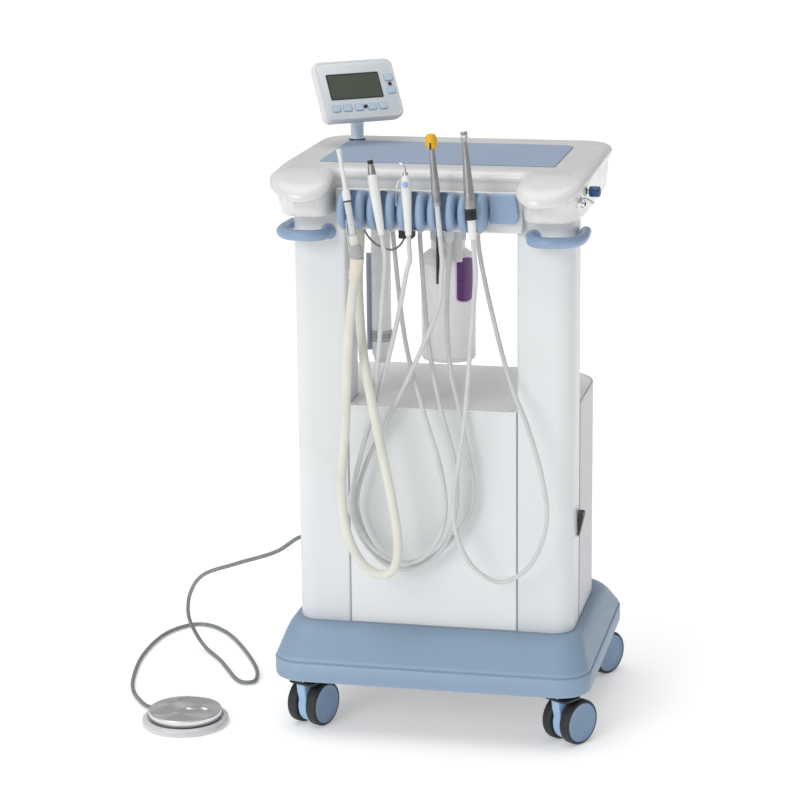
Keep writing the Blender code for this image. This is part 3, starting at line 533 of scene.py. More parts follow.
def add_camera():
    back = Vector((math.sin(CAMERA_AZIMUTH) * math.cos(CAMERA_PITCH), -math.cos(CAMERA_AZIMUTH)
        * math.cos(CAMERA_PITCH), math.sin(CAMERA_PITCH)))
    level = Vector((math.cos(CAMERA_AZIMUTH), math.sin(CAMERA_AZIMUTH), 0.0))
    upright = back.cross(level)
    right = level * math.cos(CAMERA_ROLL) + upright * math.sin(CAMERA_ROLL)
    up = upright * math.cos(CAMERA_ROLL) - level * math.sin(CAMERA_ROLL)
    data = bpy.data.cameras.new("camera")
    data.sensor_width = 36.0
    data.lens = LENS
    data.clip_end = 60.0
    camera = bpy.data.objects.new("camera", data)
    turn = Matrix((right, up, back)).transposed()
    camera.matrix_world = Matrix.Translation(CAMERA_AT + CART) @ turn.to_4x4()
    bpy.context.scene.collection.objects.link(camera)
    bpy.context.scene.camera = camera


add_camera()


# ---------------------------------------------------------------- instrument axes
BACK_LEAN = math.tan(math.radians(5.0))
END = -0.034
TRAY_Z0 = node_box("worktop")[0].z
TRAY_Z1 = node_box("worktop")[1].z
UNDER = TRAY_Z0 - 0.0003
EXIT_GAP = 0.0003


class Line:
    """Axis of one parked instrument; s is measured up it from holder height."""

    def __init__(self, x, y, lean):
        self.mid = Vector((x, y, 0.875))
        self.way = Vector((-math.tan(math.radians(lean)), BACK_LEAN, 1.0)).normalized()

    def at(self, s):
        return self.mid + self.way * s


SUCTION = Line(-0.113, -0.258, 10.0)
SCALER = Line(-0.069, -0.251, 9.4)
SYRINGE = Line(-0.024, -0.245, 3.5)
TURBINE = Line(0.0245, -0.247, 6.0)
MOTOR = Line(0.0795, -0.263, 5.7)


# ---------------------------------------------------------------- hoses
def route(line, points):
    """Leave the instrument along its own axis, then follow the points."""
    return [line.at(END - EXIT_GAP), line.at(END - 0.02), line.at(END - 0.038)] + [Vector(p) for p in points]


def hanging_hose(name, node, points, diameter, material):
    """An instrument's hose, from its gland under the worktop to the instrument.
    """
    path = list(reversed(even(points, diameter * 0.8)))
    obj = piece(name, tube(path, diameter / 2, 18), None, material, [node])
    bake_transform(obj)
    placed = [p + CART for p in path]
    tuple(placed[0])
    round(path_length(path), 3)
    return path


HOSE_D = 0.0075
SUCTION_D = 0.015
suction_path = hanging_hose("suction_hose", "hose_suction",
    route(SUCTION, [(-0.106, -0.263, 0.77), (-0.117, -0.262, 0.673), (-0.124, -0.262, 0.535),
    (-0.132, -0.262, 0.435), (-0.124, -0.262, 0.359), (-0.098, -0.262, 0.307), (-0.064, -0.262, 0.291),
    (-0.044, -0.262, 0.313), (-0.042, -0.262, 0.359), (-0.052, -0.262, 0.427), (-0.067, -0.262, 0.502),
    (-0.081, -0.258, 0.572), (-0.097, -0.236, 0.629), (-0.111, -0.203, 0.687), (-0.121, -0.17, 0.749),
    (-0.122, -0.15, 0.81), (-0.122, -0.146, 0.845), (-0.122, -0.146, UNDER)]), SUCTION_D, CREAM)
scaler_path = hanging_hose("scaler_hose", "hose_scaler",
    route(SCALER, [(-0.063, -0.254, 0.74), (-0.082, -0.238, 0.582), (-0.108, -0.231, 0.475),
    (-0.121, -0.23, 0.398), (-0.1, -0.23, 0.338), (-0.057, -0.23, 0.306), (-0.013, -0.23, 0.31),
    (0.019, -0.23, 0.349), (0.03, -0.23, 0.402), (0.02, -0.23, 0.473), (-0.007, -0.222, 0.557),
    (-0.044, -0.18, 0.66), (-0.072, -0.124, 0.797), (-0.075, -0.12, 0.84), (-0.075, -0.12, UNDER)]), HOSE_D,
    SILICONE)
syringe_path = hanging_hose("syringe_hose", "hose_syringe",
    route(SYRINGE, [(-0.026, -0.247, 0.783), (-0.037, -0.243, 0.73), (-0.058, -0.235, 0.645),
    (-0.094, -0.221, 0.529), (-0.12, -0.218, 0.439), (-0.127, -0.218, 0.382), (-0.103, -0.218, 0.326),
    (-0.06, -0.218, 0.29), (-0.012, -0.218, 0.296), (0.028, -0.218, 0.337), (0.045, -0.218, 0.399),
    (0.043, -0.218, 0.471), (0.021, -0.214, 0.553), (-0.006, -0.175, 0.649), (-0.029, -0.124, 0.797),
    (-0.03, -0.12, 0.84), (-0.03, -0.12, UNDER)]), HOSE_D, SILICONE)
turbine_path = hanging_hose("turbine_hose", "hose_turbine",
    route(TURBINE, [(0.029, -0.246, 0.78), (0.022, -0.238, 0.727), (-0.017, -0.225, 0.635),
    (-0.075, -0.207, 0.519), (-0.108, -0.206, 0.448), (-0.12, -0.206, 0.387), (-0.1, -0.206, 0.327),
    (-0.054, -0.206, 0.286), (-0.006, -0.206, 0.303), (0.038, -0.206, 0.342), (0.066, -0.206, 0.389),
    (0.07, -0.206, 0.437), (0.06, -0.206, 0.493), (0.049, -0.205, 0.552), (0.031, -0.185, 0.613),
    (0.019, -0.155, 0.69), (0.017, -0.122, 0.785), (0.017, -0.12, 0.835), (0.017, -0.12, UNDER)]), HOSE_D,
    SILICONE)
motor_path = hanging_hose("motor_hose", "hose_motor",
    route(MOTOR, [(0.087, -0.266, 0.785), (0.083, -0.258, 0.749), (0.074, -0.25, 0.654),
    (0.065, -0.243, 0.558), (0.054, -0.242, 0.478), (0.046, -0.242, 0.418), (0.049, -0.242, 0.362),
    (0.076, -0.242, 0.307), (0.123, -0.242, 0.284), (0.17, -0.242, 0.317), (0.194, -0.242, 0.382),
    (0.189, -0.242, 0.45), (0.165, -0.238, 0.535), (0.13, -0.212, 0.609), (0.091, -0.16, 0.712),
    (0.066, -0.123, 0.795), (0.064, -0.12, 0.84), (0.064, -0.12, UNDER)]), HOSE_D, SILICONE)

PEDAL = middle("foot_base")[0]
COL_OUT = node_box("right_column")[1].x
FOOT_HOSE_D = 0.007
foot_points = [(-COL_OUT - EXIT_GAP, -0.075, 0.286), (-0.252, -0.075, 0.286), (-0.302, -0.045, 0.248),
    (-0.385, 0.0, 0.208), (-0.458, 0.05, 0.168), (-0.495, 0.09, 0.12), (-0.508, 0.115, 0.07),
    (-0.5, 0.13, 0.03), (-0.478, 0.118, 0.0075), (-0.44, 0.072, 0.0045), (-0.414, 0.03, 0.0045),
    (-0.386, -0.016, 0.0045), (-0.366, -0.032, 0.0045), (-0.35, -0.018, 0.0045), (-0.364, 0.04, 0.0045),
    (-0.414, 0.136, 0.0045), (-0.464, 0.21, 0.0045), (-0.512, 0.247, 0.0045), (-0.548, 0.236, 0.0045),
    (-0.576, 0.176, 0.0045), (-0.58, 0.068, 0.0045), (-0.563, -0.04, 0.0045), (-0.54, -0.112, 0.005),
    (PEDAL.x - 0.1 * 0.866, PEDAL.y + 0.1 * 0.5, 0.0062), (PEDAL.x - 0.0731 * 0.866, PEDAL.y + 0.0731 * 0.5,
    0.0062)]


def foot_hose():
    path = even(foot_points, 0.005)
    obj = piece("foot_hose", tube(path, FOOT_HOSE_D / 2, 18), "cart", FOOT_HOSE, ["hose_foot"])
    placed = [p + CART for p in path]
    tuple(placed[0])
    round(path_length(path), 3)


foot_hose()


# ---------------------------------------------------------------- base
BASE_LOW, BASE_HIGH = node_box("base_cover")


def base():
    half_w = BASE_HIGH.x
    front, back = BASE_LOW.y, BASE_HIGH.y
    z0, z1 = BASE_LOW.z, BASE_HIGH.z

    def rim(d):
        r = 0.052
        return rounded([(-half_w + d, front + d, r - d), (half_w - d, front + d, r - d),
            (half_w - d, back - d, r - d), (-half_w + d, back - d, r - d)], 14)

    def body(d):
        return rounded([(-0.234 + d, -0.194 + d, 0.04), (0.234 - d, -0.194 + d, 0.04),
            (0.234 - d, 0.124 - d, 0.08), (-0.234 + d, 0.124 - d, 0.08)], 14)

    top = body(0.0)
    rings = [at_z(rim(0.006), z0 + 0.003), at_z(rim(0.004), z0), at_z(rim(0.0018), z0 + 0.0012),
        at_z(rim(0.0003), z0 + 0.0045), at_z(rim(0.0), z0 + 0.01), at_z(rim(0.0), z0 + 0.031),
        at_z(rim(0.0008), z0 + 0.0318), at_z(rim(0.003), z0 + 0.0322), at_z(rim(0.0034), z0 + 0.0332),
        at_z(rim(0.0026), z0 + 0.0345), at_z(rim(0.003), z0 + 0.0375)]
    start = rim(0.003)
    for k in range(1, 17):
        t = k / 16.0
        rise = math.sin(t * math.pi / 2.0) ** 1.15
        rings.append(at_z(mix(start, top, t ** 1.05), z0 + 0.0375 + (z1 - z0 - 0.0375) * rise))
    piece("base_cover_skin", loft(rings, cap_start=False), "cart", BASE_BLUE, ["base_cover"],
        sharp=60.0)
    frame["nodes"]["base_frame"].data.materials.clear()
    frame["nodes"]["base_frame"].data.materials.append(DECK_GREY)
    foot = rounded([(-0.2275, -0.1862, 0.032), (0.2275, -0.1862, 0.032), (0.2275, 0.1152, 0.08),
        (-0.2275, 0.1152, 0.08)], 14)
    gap = rounded([(-0.2262, -0.185, 0.031), (0.2262, -0.185, 0.031), (0.2262, 0.114, 0.08),
        (-0.2262, 0.114, 0.08)], 14)
    inner = mix(gap, foot, -2.0)
    piece("body_foot_gap", loft([at_z(gap, z1 - 0.0005), at_z(gap, z1 + 0.0022), at_z(inner, z1 + 0.0022),
        at_z(inner, z1 - 0.0005)], closed=True), "cart", SEAM_GREY)


base()


# ---------------------------------------------------------------- columns, panels and cabinet
COL_IN = node_box("right_column")[0].x
COL_BACK = node_box("right_column")[1].y
COL_Z0, COL_Z1 = node_box("right_column")[0].z, node_box("right_column")[1].z
PANEL_LOW, PANEL_HIGH = node_box("front_panel")
HOUSING_LOW, HOUSING_HIGH = node_box("rear_housing")
SHELF_LOW, SHELF_HIGH = node_box("cabinet_shelf")


def column(side, node):
    wall = 0.003
    corners = [(COL_IN, COL_FRONT, 0.005), (COL_OUT, COL_FRONT, 0.032), (COL_OUT, COL_BACK, 0.01),
        (COL_IN, COL_BACK, 0.006)]
    if side < 0:
        corners = mirrored(corners)[len(corners):]
    low, high = COL_Z0 + 0.0005, COL_Z1
    rings = [at_z(rounded(inset(corners, 0.001)), low), at_z(rounded(corners), low + 0.0015),
        at_z(rounded(corners), high), at_z(rounded(inset(corners, wall)), high),
        at_z(rounded(inset(corners, wall)), low)]
    piece(node + "_skin", loft(rings, closed=True), "cart", SHELL_WHITE, [node], sharp=50.0)


def screw(name, at, direction, radius=0.0036, body="cart"):
    """Countersunk cross-head screw."""
    head = lathe(at, direction, [(radius, -0.0006), (radius, 0.0003), (radius * 0.8, 0.0009),
        (radius * 0.3, 0.0011), (radius * 0.26, 0.0004), (0.0, 0.0004)], 24)
    piece(name, head, body, CHROME, sharp=30.0)


def cabinet():
    column(-1, "left_column")
    column(1, "right_column")
    low, high = PANEL_LOW, PANEL_HIGH
    piece("front_panel_skin", block(low, high), "cart", SHELL_WHITE, ["front_panel"],
        bevel=0.0012)
    for word, side in SIDES:
        x0, x1 = sorted((side * (COL_IN - 0.0013), side * (COL_IN - 0.0001)))
        piece("panel_seam_" + word, block((x0, COL_FRONT + 0.0012, low.z + 0.001), (x1, COL_FRONT + 0.0036,
            high.z)), "cart", SEAM_GREY)
    lip = 0.006
    piece("front_panel_lip", block((low.x, low.y + 0.0002, high.z - 0.0002),
        (high.x, low.y + lip, high.z + 0.002)), "cart", SHELL_WHITE, bevel=0.0008)
    piece("shelf_lining", shelf_shape(), "cart", SHELF_GREY, ["cabinet_shelf"], bevel=0.0006)
    wall = 0.003
    outer = rounded([(COL_OUT, COL_BACK + 0.0008, 0.0005), (COL_OUT, HOUSING_HIGH.y, 0.085),
        (-COL_OUT, HOUSING_HIGH.y, 0.085), (-COL_OUT, COL_BACK + 0.0008, 0.0005)], 14)[15:45]
    inner = rounded([(COL_OUT - wall, COL_BACK + 0.0008, 0.0005), (COL_OUT - wall, HOUSING_HIGH.y - wall,
        0.082), (-COL_OUT + wall, HOUSING_HIGH.y - wall, 0.082), (-COL_OUT + wall, COL_BACK + 0.0008,
        0.0005)], 14)[15:45]
    plan = [(COL_OUT, COL_BACK + 0.0022)] + outer + [(-COL_OUT, COL_BACK + 0.0022)]
    plan_in = [(COL_OUT - wall, COL_BACK + 0.0022)] + inner + [(-COL_OUT + wall, COL_BACK + 0.0022)]
    ring = plan + list(reversed(plan_in))
    # The rear housing takes the darkened side white: painted shade on its sides and back.
    piece("rear_housing_skin", loft([at_z(ring, HOUSING_LOW.z + 0.002), at_z(ring, HOUSING_HIGH.z)]), "cart",
        SHADED_SIDE_WHITE, ["rear_housing"], bevel=0.0007)
    for word, side in SIDES:
        x = side * (COL_OUT - 0.0016)
        piece("side_seam_" + word, block((x - 0.0012, COL_BACK - 0.0012, COL_Z0 + 0.002),
            (x + 0.0012, COL_BACK + 0.003, HOUSING_HIGH.z)), "cart", SEAM_GREY)
        for level, z in (("low", 0.215), ("high", 0.52)):
            screw("housing_screw_%s_%s" % (level, word), (side * 0.12, HOUSING_HIGH.y, z), (0, 1, 0))
    screw("shelf_screw_right", (COL_IN - 0.01, COL_FRONT + 0.01, SHELF_HIGH.z), (0, 0, 1), 0.003)
    screw("shelf_screw_left", (-COL_IN + 0.01, COL_FRONT + 0.01, SHELF_HIGH.z), (0, 0, 1), 0.003)
    frame["nodes"]["compressor"].data.materials.clear()
    frame["nodes"]["compressor"].data.materials.append(CASTING)


def shelf_shape():
    side = COL_OUT - 0.0033
    back = SHELF_HIGH.y
    curve = rounded([(side, COL_BACK + 0.001, 0.0005), (side, back, 0.0817), (-side, back, 0.0817),
        (-side, COL_BACK + 0.001, 0.0005)], 14)[15:45]
    plan = [(-COL_IN + 0.0005, SHELF_LOW.y), (COL_IN - 0.0005, SHELF_LOW.y),
        (COL_IN - 0.0005, COL_BACK + 0.001), (side, COL_BACK + 0.001)] + curve + [(-side, COL_BACK + 0.001),
        (-COL_IN + 0.0005, COL_BACK + 0.001)]
    return loft([at_z(plan, SHELF_LOW.z), at_z(plan, SHELF_HIGH.z)])


cabinet()


# ---------------------------------------------------------------- worktop
TRAY_FRONT = -0.283
TRAY_FALL_Y = -0.205
TRAY_FALL = 0.024
TRAY = mirrored([(0.143, TRAY_FRONT, 0.038), (0.246, TRAY_FRONT, 0.062), (0.2505, -0.14, 0.06),
    (0.246, 0.15, 0.05)]) + mirrored([(-0.1515, -0.19, 0.01)])
SKIRT = mirrored([(0.155, -0.234, 0.022), (0.236, -0.234, 0.042), (0.2415, -0.14, 0.06),
    (0.237, 0.141, 0.045)]) + mirrored([(-0.152, -0.1895, 0.004)])
MAT_LOW, MAT_HIGH = node_box("worktop_mat")


def worktop():
    def level(y):
        run = max(0.0, (TRAY_FALL_Y - y) / (TRAY_FALL_Y - TRAY_FRONT))
        return TRAY_Z1 - TRAY_FALL * run ** 1.6

    def ring(outline, below):
        return [Vector((x, y, level(y) - below)) for x, y in outline]

    skirt = rounded(SKIRT, 10)
    lip = rounded(inset(TRAY, 0.003), 10)
    rings = [at_z(rounded(inset(SKIRT, 0.005), 10), TRAY_Z0), at_z(rounded(inset(SKIRT, 0.0015), 10),
        TRAY_Z0 + 0.002), at_z(skirt, TRAY_Z0 + 0.006), at_z(mix(skirt, lip, 0.12), TRAY_Z0 + 0.014)]
    rings += [ring(mix(skirt, lip, t), below) for t, below in ((0.6, 0.025), (0.85, 0.0215), (1.0, 0.018))]
    edge = curve_through([(0.0008, 0.0158), (0.0, 0.013), (0.0004, 0.0095), (0.0024, 0.0056),
        (0.007, 0.0022), (0.014, 0.0006), (0.022, 0.0)], 3)
    rings += [ring(rounded(inset(TRAY, max(p.x, 0.0)), 10), max(p.y, 0.0)) for p in edge]
    top_edge = [Vector(p) for p in rounded(inset(TRAY, 0.022), 10)]
    grid = [Vector((0.0075 * i, 0.0075 * j)) for i in range(-32, 33) for j in range(-38, 20)]
    top = delaunay_2d_cdt(top_edge + grid, [], [list(range(len(top_edge)))], 1, 0.00001)
    cover = [Vector((p.x, p.y, level(p.y))) for p in top[0]], [tuple(face) for face in top[2]]
    piece("worktop_skin", together(loft(rings, cap_end=False), cover), "cart", TRAY_WHITE,
        ["worktop"], sharp=50.0)
    x0, x1, y0, y1 = MAT_LOW.x, MAT_HIGH.x, MAT_LOW.y, MAT_HIGH.y

    def mat(d):
        return rounded([(x0 + d, y0 + d, 0.004), (x1 - d, y0 + d, 0.004), (x1 - d, y1 - d, 0.02),
            (x0 + d, y1 - d, 0.02)], 10)

    top = MAT_HIGH.z
    piece("worktop_mat_skin", loft([at_z(mat(0.0), top - 0.0012), at_z(mat(0.0), top - 0.0005),
        at_z(mat(0.0004), top - 0.0001), at_z(mat(0.001), top)]), "cart", MAT_BLUE,
        ["worktop_mat"], sharp=50.0)
    piece("worktop_mat_groove",
        loft([at_z(mat(-0.0011), TRAY_Z1 - 0.0006), at_z(mat(-0.0011), TRAY_Z1 + 0.0001),
        at_z(mat(0.0005), TRAY_Z1 + 0.0001), at_z(mat(0.0005), TRAY_Z1 - 0.0006)], closed=True), "cart",
        FITTING_GREY)


worktop()


# ---------------------------------------------------------------- holder bar, forks and blank panel
BAR_LOW, BAR_HIGH = node_box("holder_bar")
FORK_TIP = node_box("holder_1")[0].y


def fork_ring(cx, z, half, tip, slot):
    """Section of one fork: two prongs beside an open slot."""
    back = BAR_LOW.y - 0.0003
    root = back - 0.004
    mid = (half + slot) / 2
    side = [(half, back), (half, back - 0.006), (half, tip + 0.016), (half - 0.0008, tip + 0.006),
        (mid + 0.002, tip + 0.0006), (mid - 0.0016, tip), (slot + 0.0008, tip + 0.0016), (slot, tip + 0.006),
        (slot, tip + 0.016), (slot, root - 0.002), (slot - 0.001, root)]
    other = [(-x, y) for x, y in reversed(side)]
    return [Vector((cx + x, y, z)) for x, y in side + other]


def fork(name, cx):
    stations = [(0.8428, 0.015, 0.026, 0.0095), (0.8436, 0.0172, 0.018, 0.0085),
        (0.85, 0.0208, 0.008, 0.008), (0.862, 0.0226, 0.001, 0.0078), (0.878, 0.0229, 0.0, 0.008),
        (0.893, 0.0218, 0.004, 0.0084), (0.9005, 0.0198, 0.012, 0.0088), (0.903, 0.0172, 0.02, 0.0092),
        (0.9034, 0.015, 0.026, 0.0098)]
    rings = [fork_ring(cx, z, half, FORK_TIP - 0.0004 + tip, slot) for z, half, tip, slot in stations]
    piece(name + "_pod", loft(rings), "cart", HOLDER_BLUE, [name], subdivide=1)


def holders():
    piece("holder_bar_skin", block(BAR_LOW, BAR_HIGH), "cart", TRAY_WHITE, ["holder_bar"],
        bevel=0.0035)
    for i in range(1, 6):
        fork("holder_%d" % i, middle("holder_%d" % i)[0].x)
    low, high = node_box("holder_blank")
    outline = rounded([(low.x, low.z, 0.004), (high.x - 0.0045, low.z, 0.006), (high.x, low.z + 0.012, 0.01),
        (high.x - 0.0055, high.z, 0.005), (low.x, high.z, 0.004)], 8)
    rings = []
    centre = Vector(((low.x + high.x) / 2, 0, (low.z + high.z) / 2))
    for scale, y in ((1.0, high.y), (1.0, low.y + 0.004), (0.985, low.y + 0.0015), (0.95, low.y + 0.0003),
            (0.9, low.y)):
        rings.append([Vector((centre.x + (x - centre.x) * scale, y, centre.z + (z - centre.z) * scale))
            for x, z in outline])
    piece("holder_blank_skin", loft(rings), "cart", HOLDER_BLUE, ["holder_blank"], sharp=50.0)


holders()


# ---------------------------------------------------------------- grab handles
HANDLE_Z = middle("right_handle")[0].z
HANDLE = [(0.164, COL_FRONT - 0.0003, HANDLE_Z), (0.164, -0.2, HANDLE_Z), (0.167, -0.216, HANDLE_Z),
    (0.18, -0.2265, HANDLE_Z), (0.202, -0.2285, HANDLE_Z), (0.224, -0.2205, HANDLE_Z),
    (0.237, -0.2, HANDLE_Z), (0.24, -0.172, HANDLE_Z), (0.2385, -0.145, HANDLE_Z), (0.2368, -0.12, HANDLE_Z)]


def handles():
    for side, node in ((1, "right_handle"), (-1, "left_handle")):
        path = even([(side * x, y, z) for x, y, z in HANDLE], 0.0035)

        def radius(t):
            end = min(1.0, (1.0 - t) / 0.035)
            return 0.009 * math.sqrt(max(1.0 - (1.0 - end) ** 2, 0.05))

        piece(node + "_skin", tube(path, radius, 28), "cart", HANDLE_BLUE, [node], sharp=60.0)
        piece(node + "_rose", lathe((side * 0.164, COL_FRONT, HANDLE_Z), (0, -1, 0),
            [(0.0125, -0.001), (0.0125, 0.0012), (0.0112, 0.0026), (0.0088, 0.003)], 32), "cart",
            HANDLE_BLUE)


handles()


# ---------------------------------------------------------------- control display
DISP_YAW = math.radians(36.0)
DISP_TILT = math.radians(34.0)
DISP_W, DISP_H, DISP_DEEP = 0.142, 0.108, 0.028
DISP_C = Vector((-0.1676, 0.052, 1.025))
FACE_H = Vector((math.sin(DISP_YAW), -math.cos(DISP_YAW), 0.0))
DU = Vector((math.cos(DISP_YAW), math.sin(DISP_YAW), 0.0))
DV = Vector((0, 0, 1)) * math.cos(DISP_TILT) - FACE_H * math.sin(DISP_TILT)
DN = FACE_H * math.cos(DISP_TILT) + Vector((0, 0, 1)) * math.sin(DISP_TILT)


def on_face(outline, n):
    return [DISP_C + DU * x + DV * y + DN * n for x, y in outline]


def face_rect(u0, u1, v0, v1, r, n, steps=6):
    return on_face(rect(u0, u1, v0, v1, r, steps), n)


def patch(spot, half, grow, r, n):
    """Rectangle about a spot of the display's face, wider than half by grow."""
    u, v = half[0] + grow, half[1] + grow
    return face_rect(spot[0] - u, spot[0] + u, spot[1] - v, spot[1] + v, r, n)


def display():
    half_w, half_h = DISP_W / 2, DISP_H / 2

    def shell(d, r, n, left=0.0):
        return face_rect(-half_w + d + left, half_w - d, -half_h + d, half_h - d, r, n, 10)

    rings = [shell(0.016, 0.004, -DISP_DEEP), shell(0.01, 0.006, -DISP_DEEP + 0.0004),
        shell(0.006, 0.009, -DISP_DEEP + 0.0022), shell(0.003, 0.011, -DISP_DEEP + 0.006),
        shell(0.0008, 0.013, -0.015), shell(0.0, 0.013, -0.01), shell(0.0, 0.013, -0.0042),
        shell(0.0004, 0.013, -0.0022), shell(0.0016, 0.012, -0.0008), shell(0.0034, 0.0105, -0.0001),
        shell(0.0044, 0.0095, 0.0), shell(0.005, 0.009, -0.0004), shell(0.0056, 0.0085, -0.0004)]
    piece("display_housing_skin", loft(rings), "display", DISPLAY_WHITE,
        ["display_housing"], sharp=60.0)
    piece("display_face", loft([shell(0.0058, 0.0085, -0.0006), shell(0.0058, 0.0085, 0.0),
        shell(0.0064, 0.008, 0.0003)]), "display", FACE_WHITE, sharp=60.0)
    spot, half = (-0.0063, 0.0051), (0.0466, 0.0233)
    piece("lcd_frame", loft([patch(spot, half, grow, r, n) for grow, r, n in ((0.0, 0.0022, 0.0002),
        (0.0, 0.0022, 0.0012), (-0.0016, 0.0012, 0.0012), (-0.0022, 0.001, 0.0006))]), "display", LCD_RIM,
        ["lcd_window"], sharp=30.0)
    piece("lcd_glass", loft([patch(spot, half, -0.0021, 0.001, n) for n in (0.0005, 0.0008)]), "display",
        LCD)
    row = -0.0338
    keys = {"key_1": (-0.048, row), "key_2": (-0.0281, row), "key_3": (-0.0078, row), "key_4": (0.0152, row),
        "key_5": (0.0348, row), "key_up": (0.0567, 0.0165), "key_down": (0.0567, -0.007)}
    key_half = (0.0068, 0.0056)
    cap = ((0.0, 0.0009), (0.0, 0.0017), (0.0004, 0.0021), (0.0011, 0.0023), (0.0018, 0.0021),
        (0.0024, 0.002), (0.0034, 0.0022))
    surround = ((0.0013, 0.0001), (0.0013, 0.0006), (0.0009, 0.0008), (0.0003, 0.0007), (0.0003, 0.0001))
    for name, spot in keys.items():
        piece(name + "_cap", loft([patch(spot, key_half, -d, max(0.0021 - d, 0.0006), n) for d, n in cap]),
            name, KEY_BLUE, [name], sharp=50.0)
        piece(name + "_surround", loft([patch(spot, key_half, d, 0.0019 + d, n) for d, n in surround],
            closed=True), "display", KEY_RIM, sharp=30.0)
    lamp_half = (0.0026, 0.0026)
    for name, spot in {"lamp_low": (0.0037, -0.0332), "lamp_side": (0.0567, 0.0048)}.items():
        piece(name, loft([patch(spot, lamp_half, 0.0, 0.0008, 0.0002), patch(spot, lamp_half, 0.0, 0.0008,
            0.0026), patch(spot, lamp_half, -0.0008, 0.0006, 0.0031)]), "display", BLACK,
            sharp=50.0)
    post_low, post_high = node_box("display_post")
    x, y = middle("display_post")[0].xy
    piece("display_post_skin", lathe((x, y, post_low.z), (0, 0, 1), [(0.0128, 0.0), (0.0128, 0.0024),
        (0.0124, 0.003), (0.0112, 0.0034), (0.011, 0.004), (0.011, 0.06), (0.0104, 0.0608), (0.0104, 0.0622),
        (0.011, 0.063), (0.011, 0.0712), (0.0102, 0.072)], 48), "cart", POST_BLUE,
        ["display_post"], sharp=40.0)
    piece("display_post_ring", lathe((x, y, post_low.z), (0, 0, 1), [(0.0132, 0.0), (0.0134, 0.0006),
        (0.0134, 0.0022), (0.013, 0.0028), (0.0113, 0.0028)], 48), "cart", LCD_RIM)
    knuckle = Vector((x, y, post_high.z + 0.0003))
    back = DISP_C - DN * DISP_DEEP
    piece("display_knuckle",
        together(lathe(knuckle, (0, 0, 1), [(0.0105, 0.0), (0.0112, 0.001), (0.0112, 0.01), (0.0098, 0.0125),
        (0.0, 0.013)], 40),
        tube([knuckle + Vector((0, 0, 0.006)), (knuckle + back) / 2 + Vector((0, 0, 0.004)),
        back + DN * 0.001], 0.0075, 24)), "display", DISPLAY_WHITE, sharp=40.0)


display()


# ---------------------------------------------------------------- castors
def castor(tag, brake):
    pivot = joint_place("castor_swivel_" + tag)
    centre = joint_place("wheel_spin_" + tag)
    axle = joint_axis("wheel_spin_" + tag)
    trail = Vector((centre.x - pivot.x, centre.y - pivot.y, 0.0))
    trail_length = trail.length
    trail.normalize()
    wheel_r = centre.z
    swivel_body, wheel_body = "castor_" + tag, "wheels_" + tag

    def place(t, h, z):
        return Vector((pivot.x, pivot.y, 0.0)) + trail * t + axle * h + Vector((0, 0, z))

    for side in (-1, 1):
        end = "outer_%s" % ("a" if side < 0 else "b")
        tread = [(0.03, 0.01), (0.034, 0.01), (0.0362, 0.0106), (0.0373, 0.0125), (0.0375, 0.015),
            (0.0375, 0.0225), (0.0372, 0.025), (0.036, 0.027), (0.0344, 0.028), (0.033, 0.028),
            (0.0326, 0.0272), (0.03, 0.027)]
        piece("tyre_%s_%s" % (tag, end), lathe(centre, axle * side, tread, 64), wheel_body, TYRE,
            ["wheelset_" + tag] if side > 0 else (), origin=centre, sharp=50.0)
        hub = [(0.0322, 0.0268), (0.0322, 0.0278), (0.0316, 0.0282), (0.03, 0.0278), (0.0285, 0.027),
            (0.02, 0.0272), (0.01, 0.0275), (0.0, 0.0276)]
        piece("hub_%s_%s" % (tag, end), lathe(centre, axle * side, hub, 64), wheel_body, HUB_BLUE,
            origin=centre, sharp=50.0)
        piece("web_%s_%s" % (tag, end), lathe(centre, axle * side, [(0.004, 0.0098), (0.0302, 0.0098),
            (0.0302, 0.012), (0.004, 0.012)], 48), wheel_body, BLACK, origin=centre)
    piece("axle_" + tag, lathe(centre - axle * 0.0115, axle, [(0.004, 0.0), (0.004, 0.023)], 24), wheel_body,
        CHROME, origin=centre)
    hood_r = 0.033
    arc = []
    for k in range(13):
        turn = math.radians(160.0 + 90.0 * k / 12)
        arc.append((trail_length + hood_r * math.cos(turn), wheel_r + hood_r * math.sin(turn)))
    outline = [(-0.017, pivot.z), (-0.017, 0.078), (-0.015, 0.063)] + arc
    outline += [(0.016, 0.012), (0.026, 0.018), (0.033, 0.031), (0.033, 0.06), (0.027, 0.074),
        (0.019, 0.087), (0.017, pivot.z)]
    piece("castor_hood_" + tag, plate(outline, 0.0082, place), swivel_body, HOOD_BLUE,
        ["castor_fork_" + tag], bevel=0.0022, sharp=50.0)
    rings = []
    for d, z in ((0.0, 0.0778), (0.0, 0.081), (0.003, 0.0828), (0.012, 0.084)):
        shape = rect(-0.019 + d, 0.023 - d, -0.025 + d, 0.025 - d, max(0.01 - d, 0.002), 8)
        rings.append([place(t, h, z) for t, h in shape])
    piece("castor_cover_" + tag, loft(rings), swivel_body, BLACK, sharp=50.0)
    piece("castor_stem_" + tag, lathe((pivot.x, pivot.y, 0.0838), (0, 0, 1), [(0.016, 0.0), (0.016, 0.008),
        (0.013, 0.0095), (0.013, 0.0118)], 40), swivel_body, BLACK)
    if brake:
        lever = [(0.0315, 0.0735), (0.04, 0.0748), (0.056, 0.0735), (0.061, 0.072), (0.064, 0.0742),
            (0.063, 0.0775), (0.06, 0.0782), (0.041, 0.081), (0.031, 0.08)]
        piece("brake_pedal_" + tag, plate(lever, 0.0075, place), "brake_" + tag, BLACK,
            ["brake_lever_" + tag], bevel=0.0014)


for castor_tag, has_brake in (("front_left", False), ("front_right", False), ("rear_left", True),
        ("rear_right", True)):
    castor(castor_tag, has_brake)


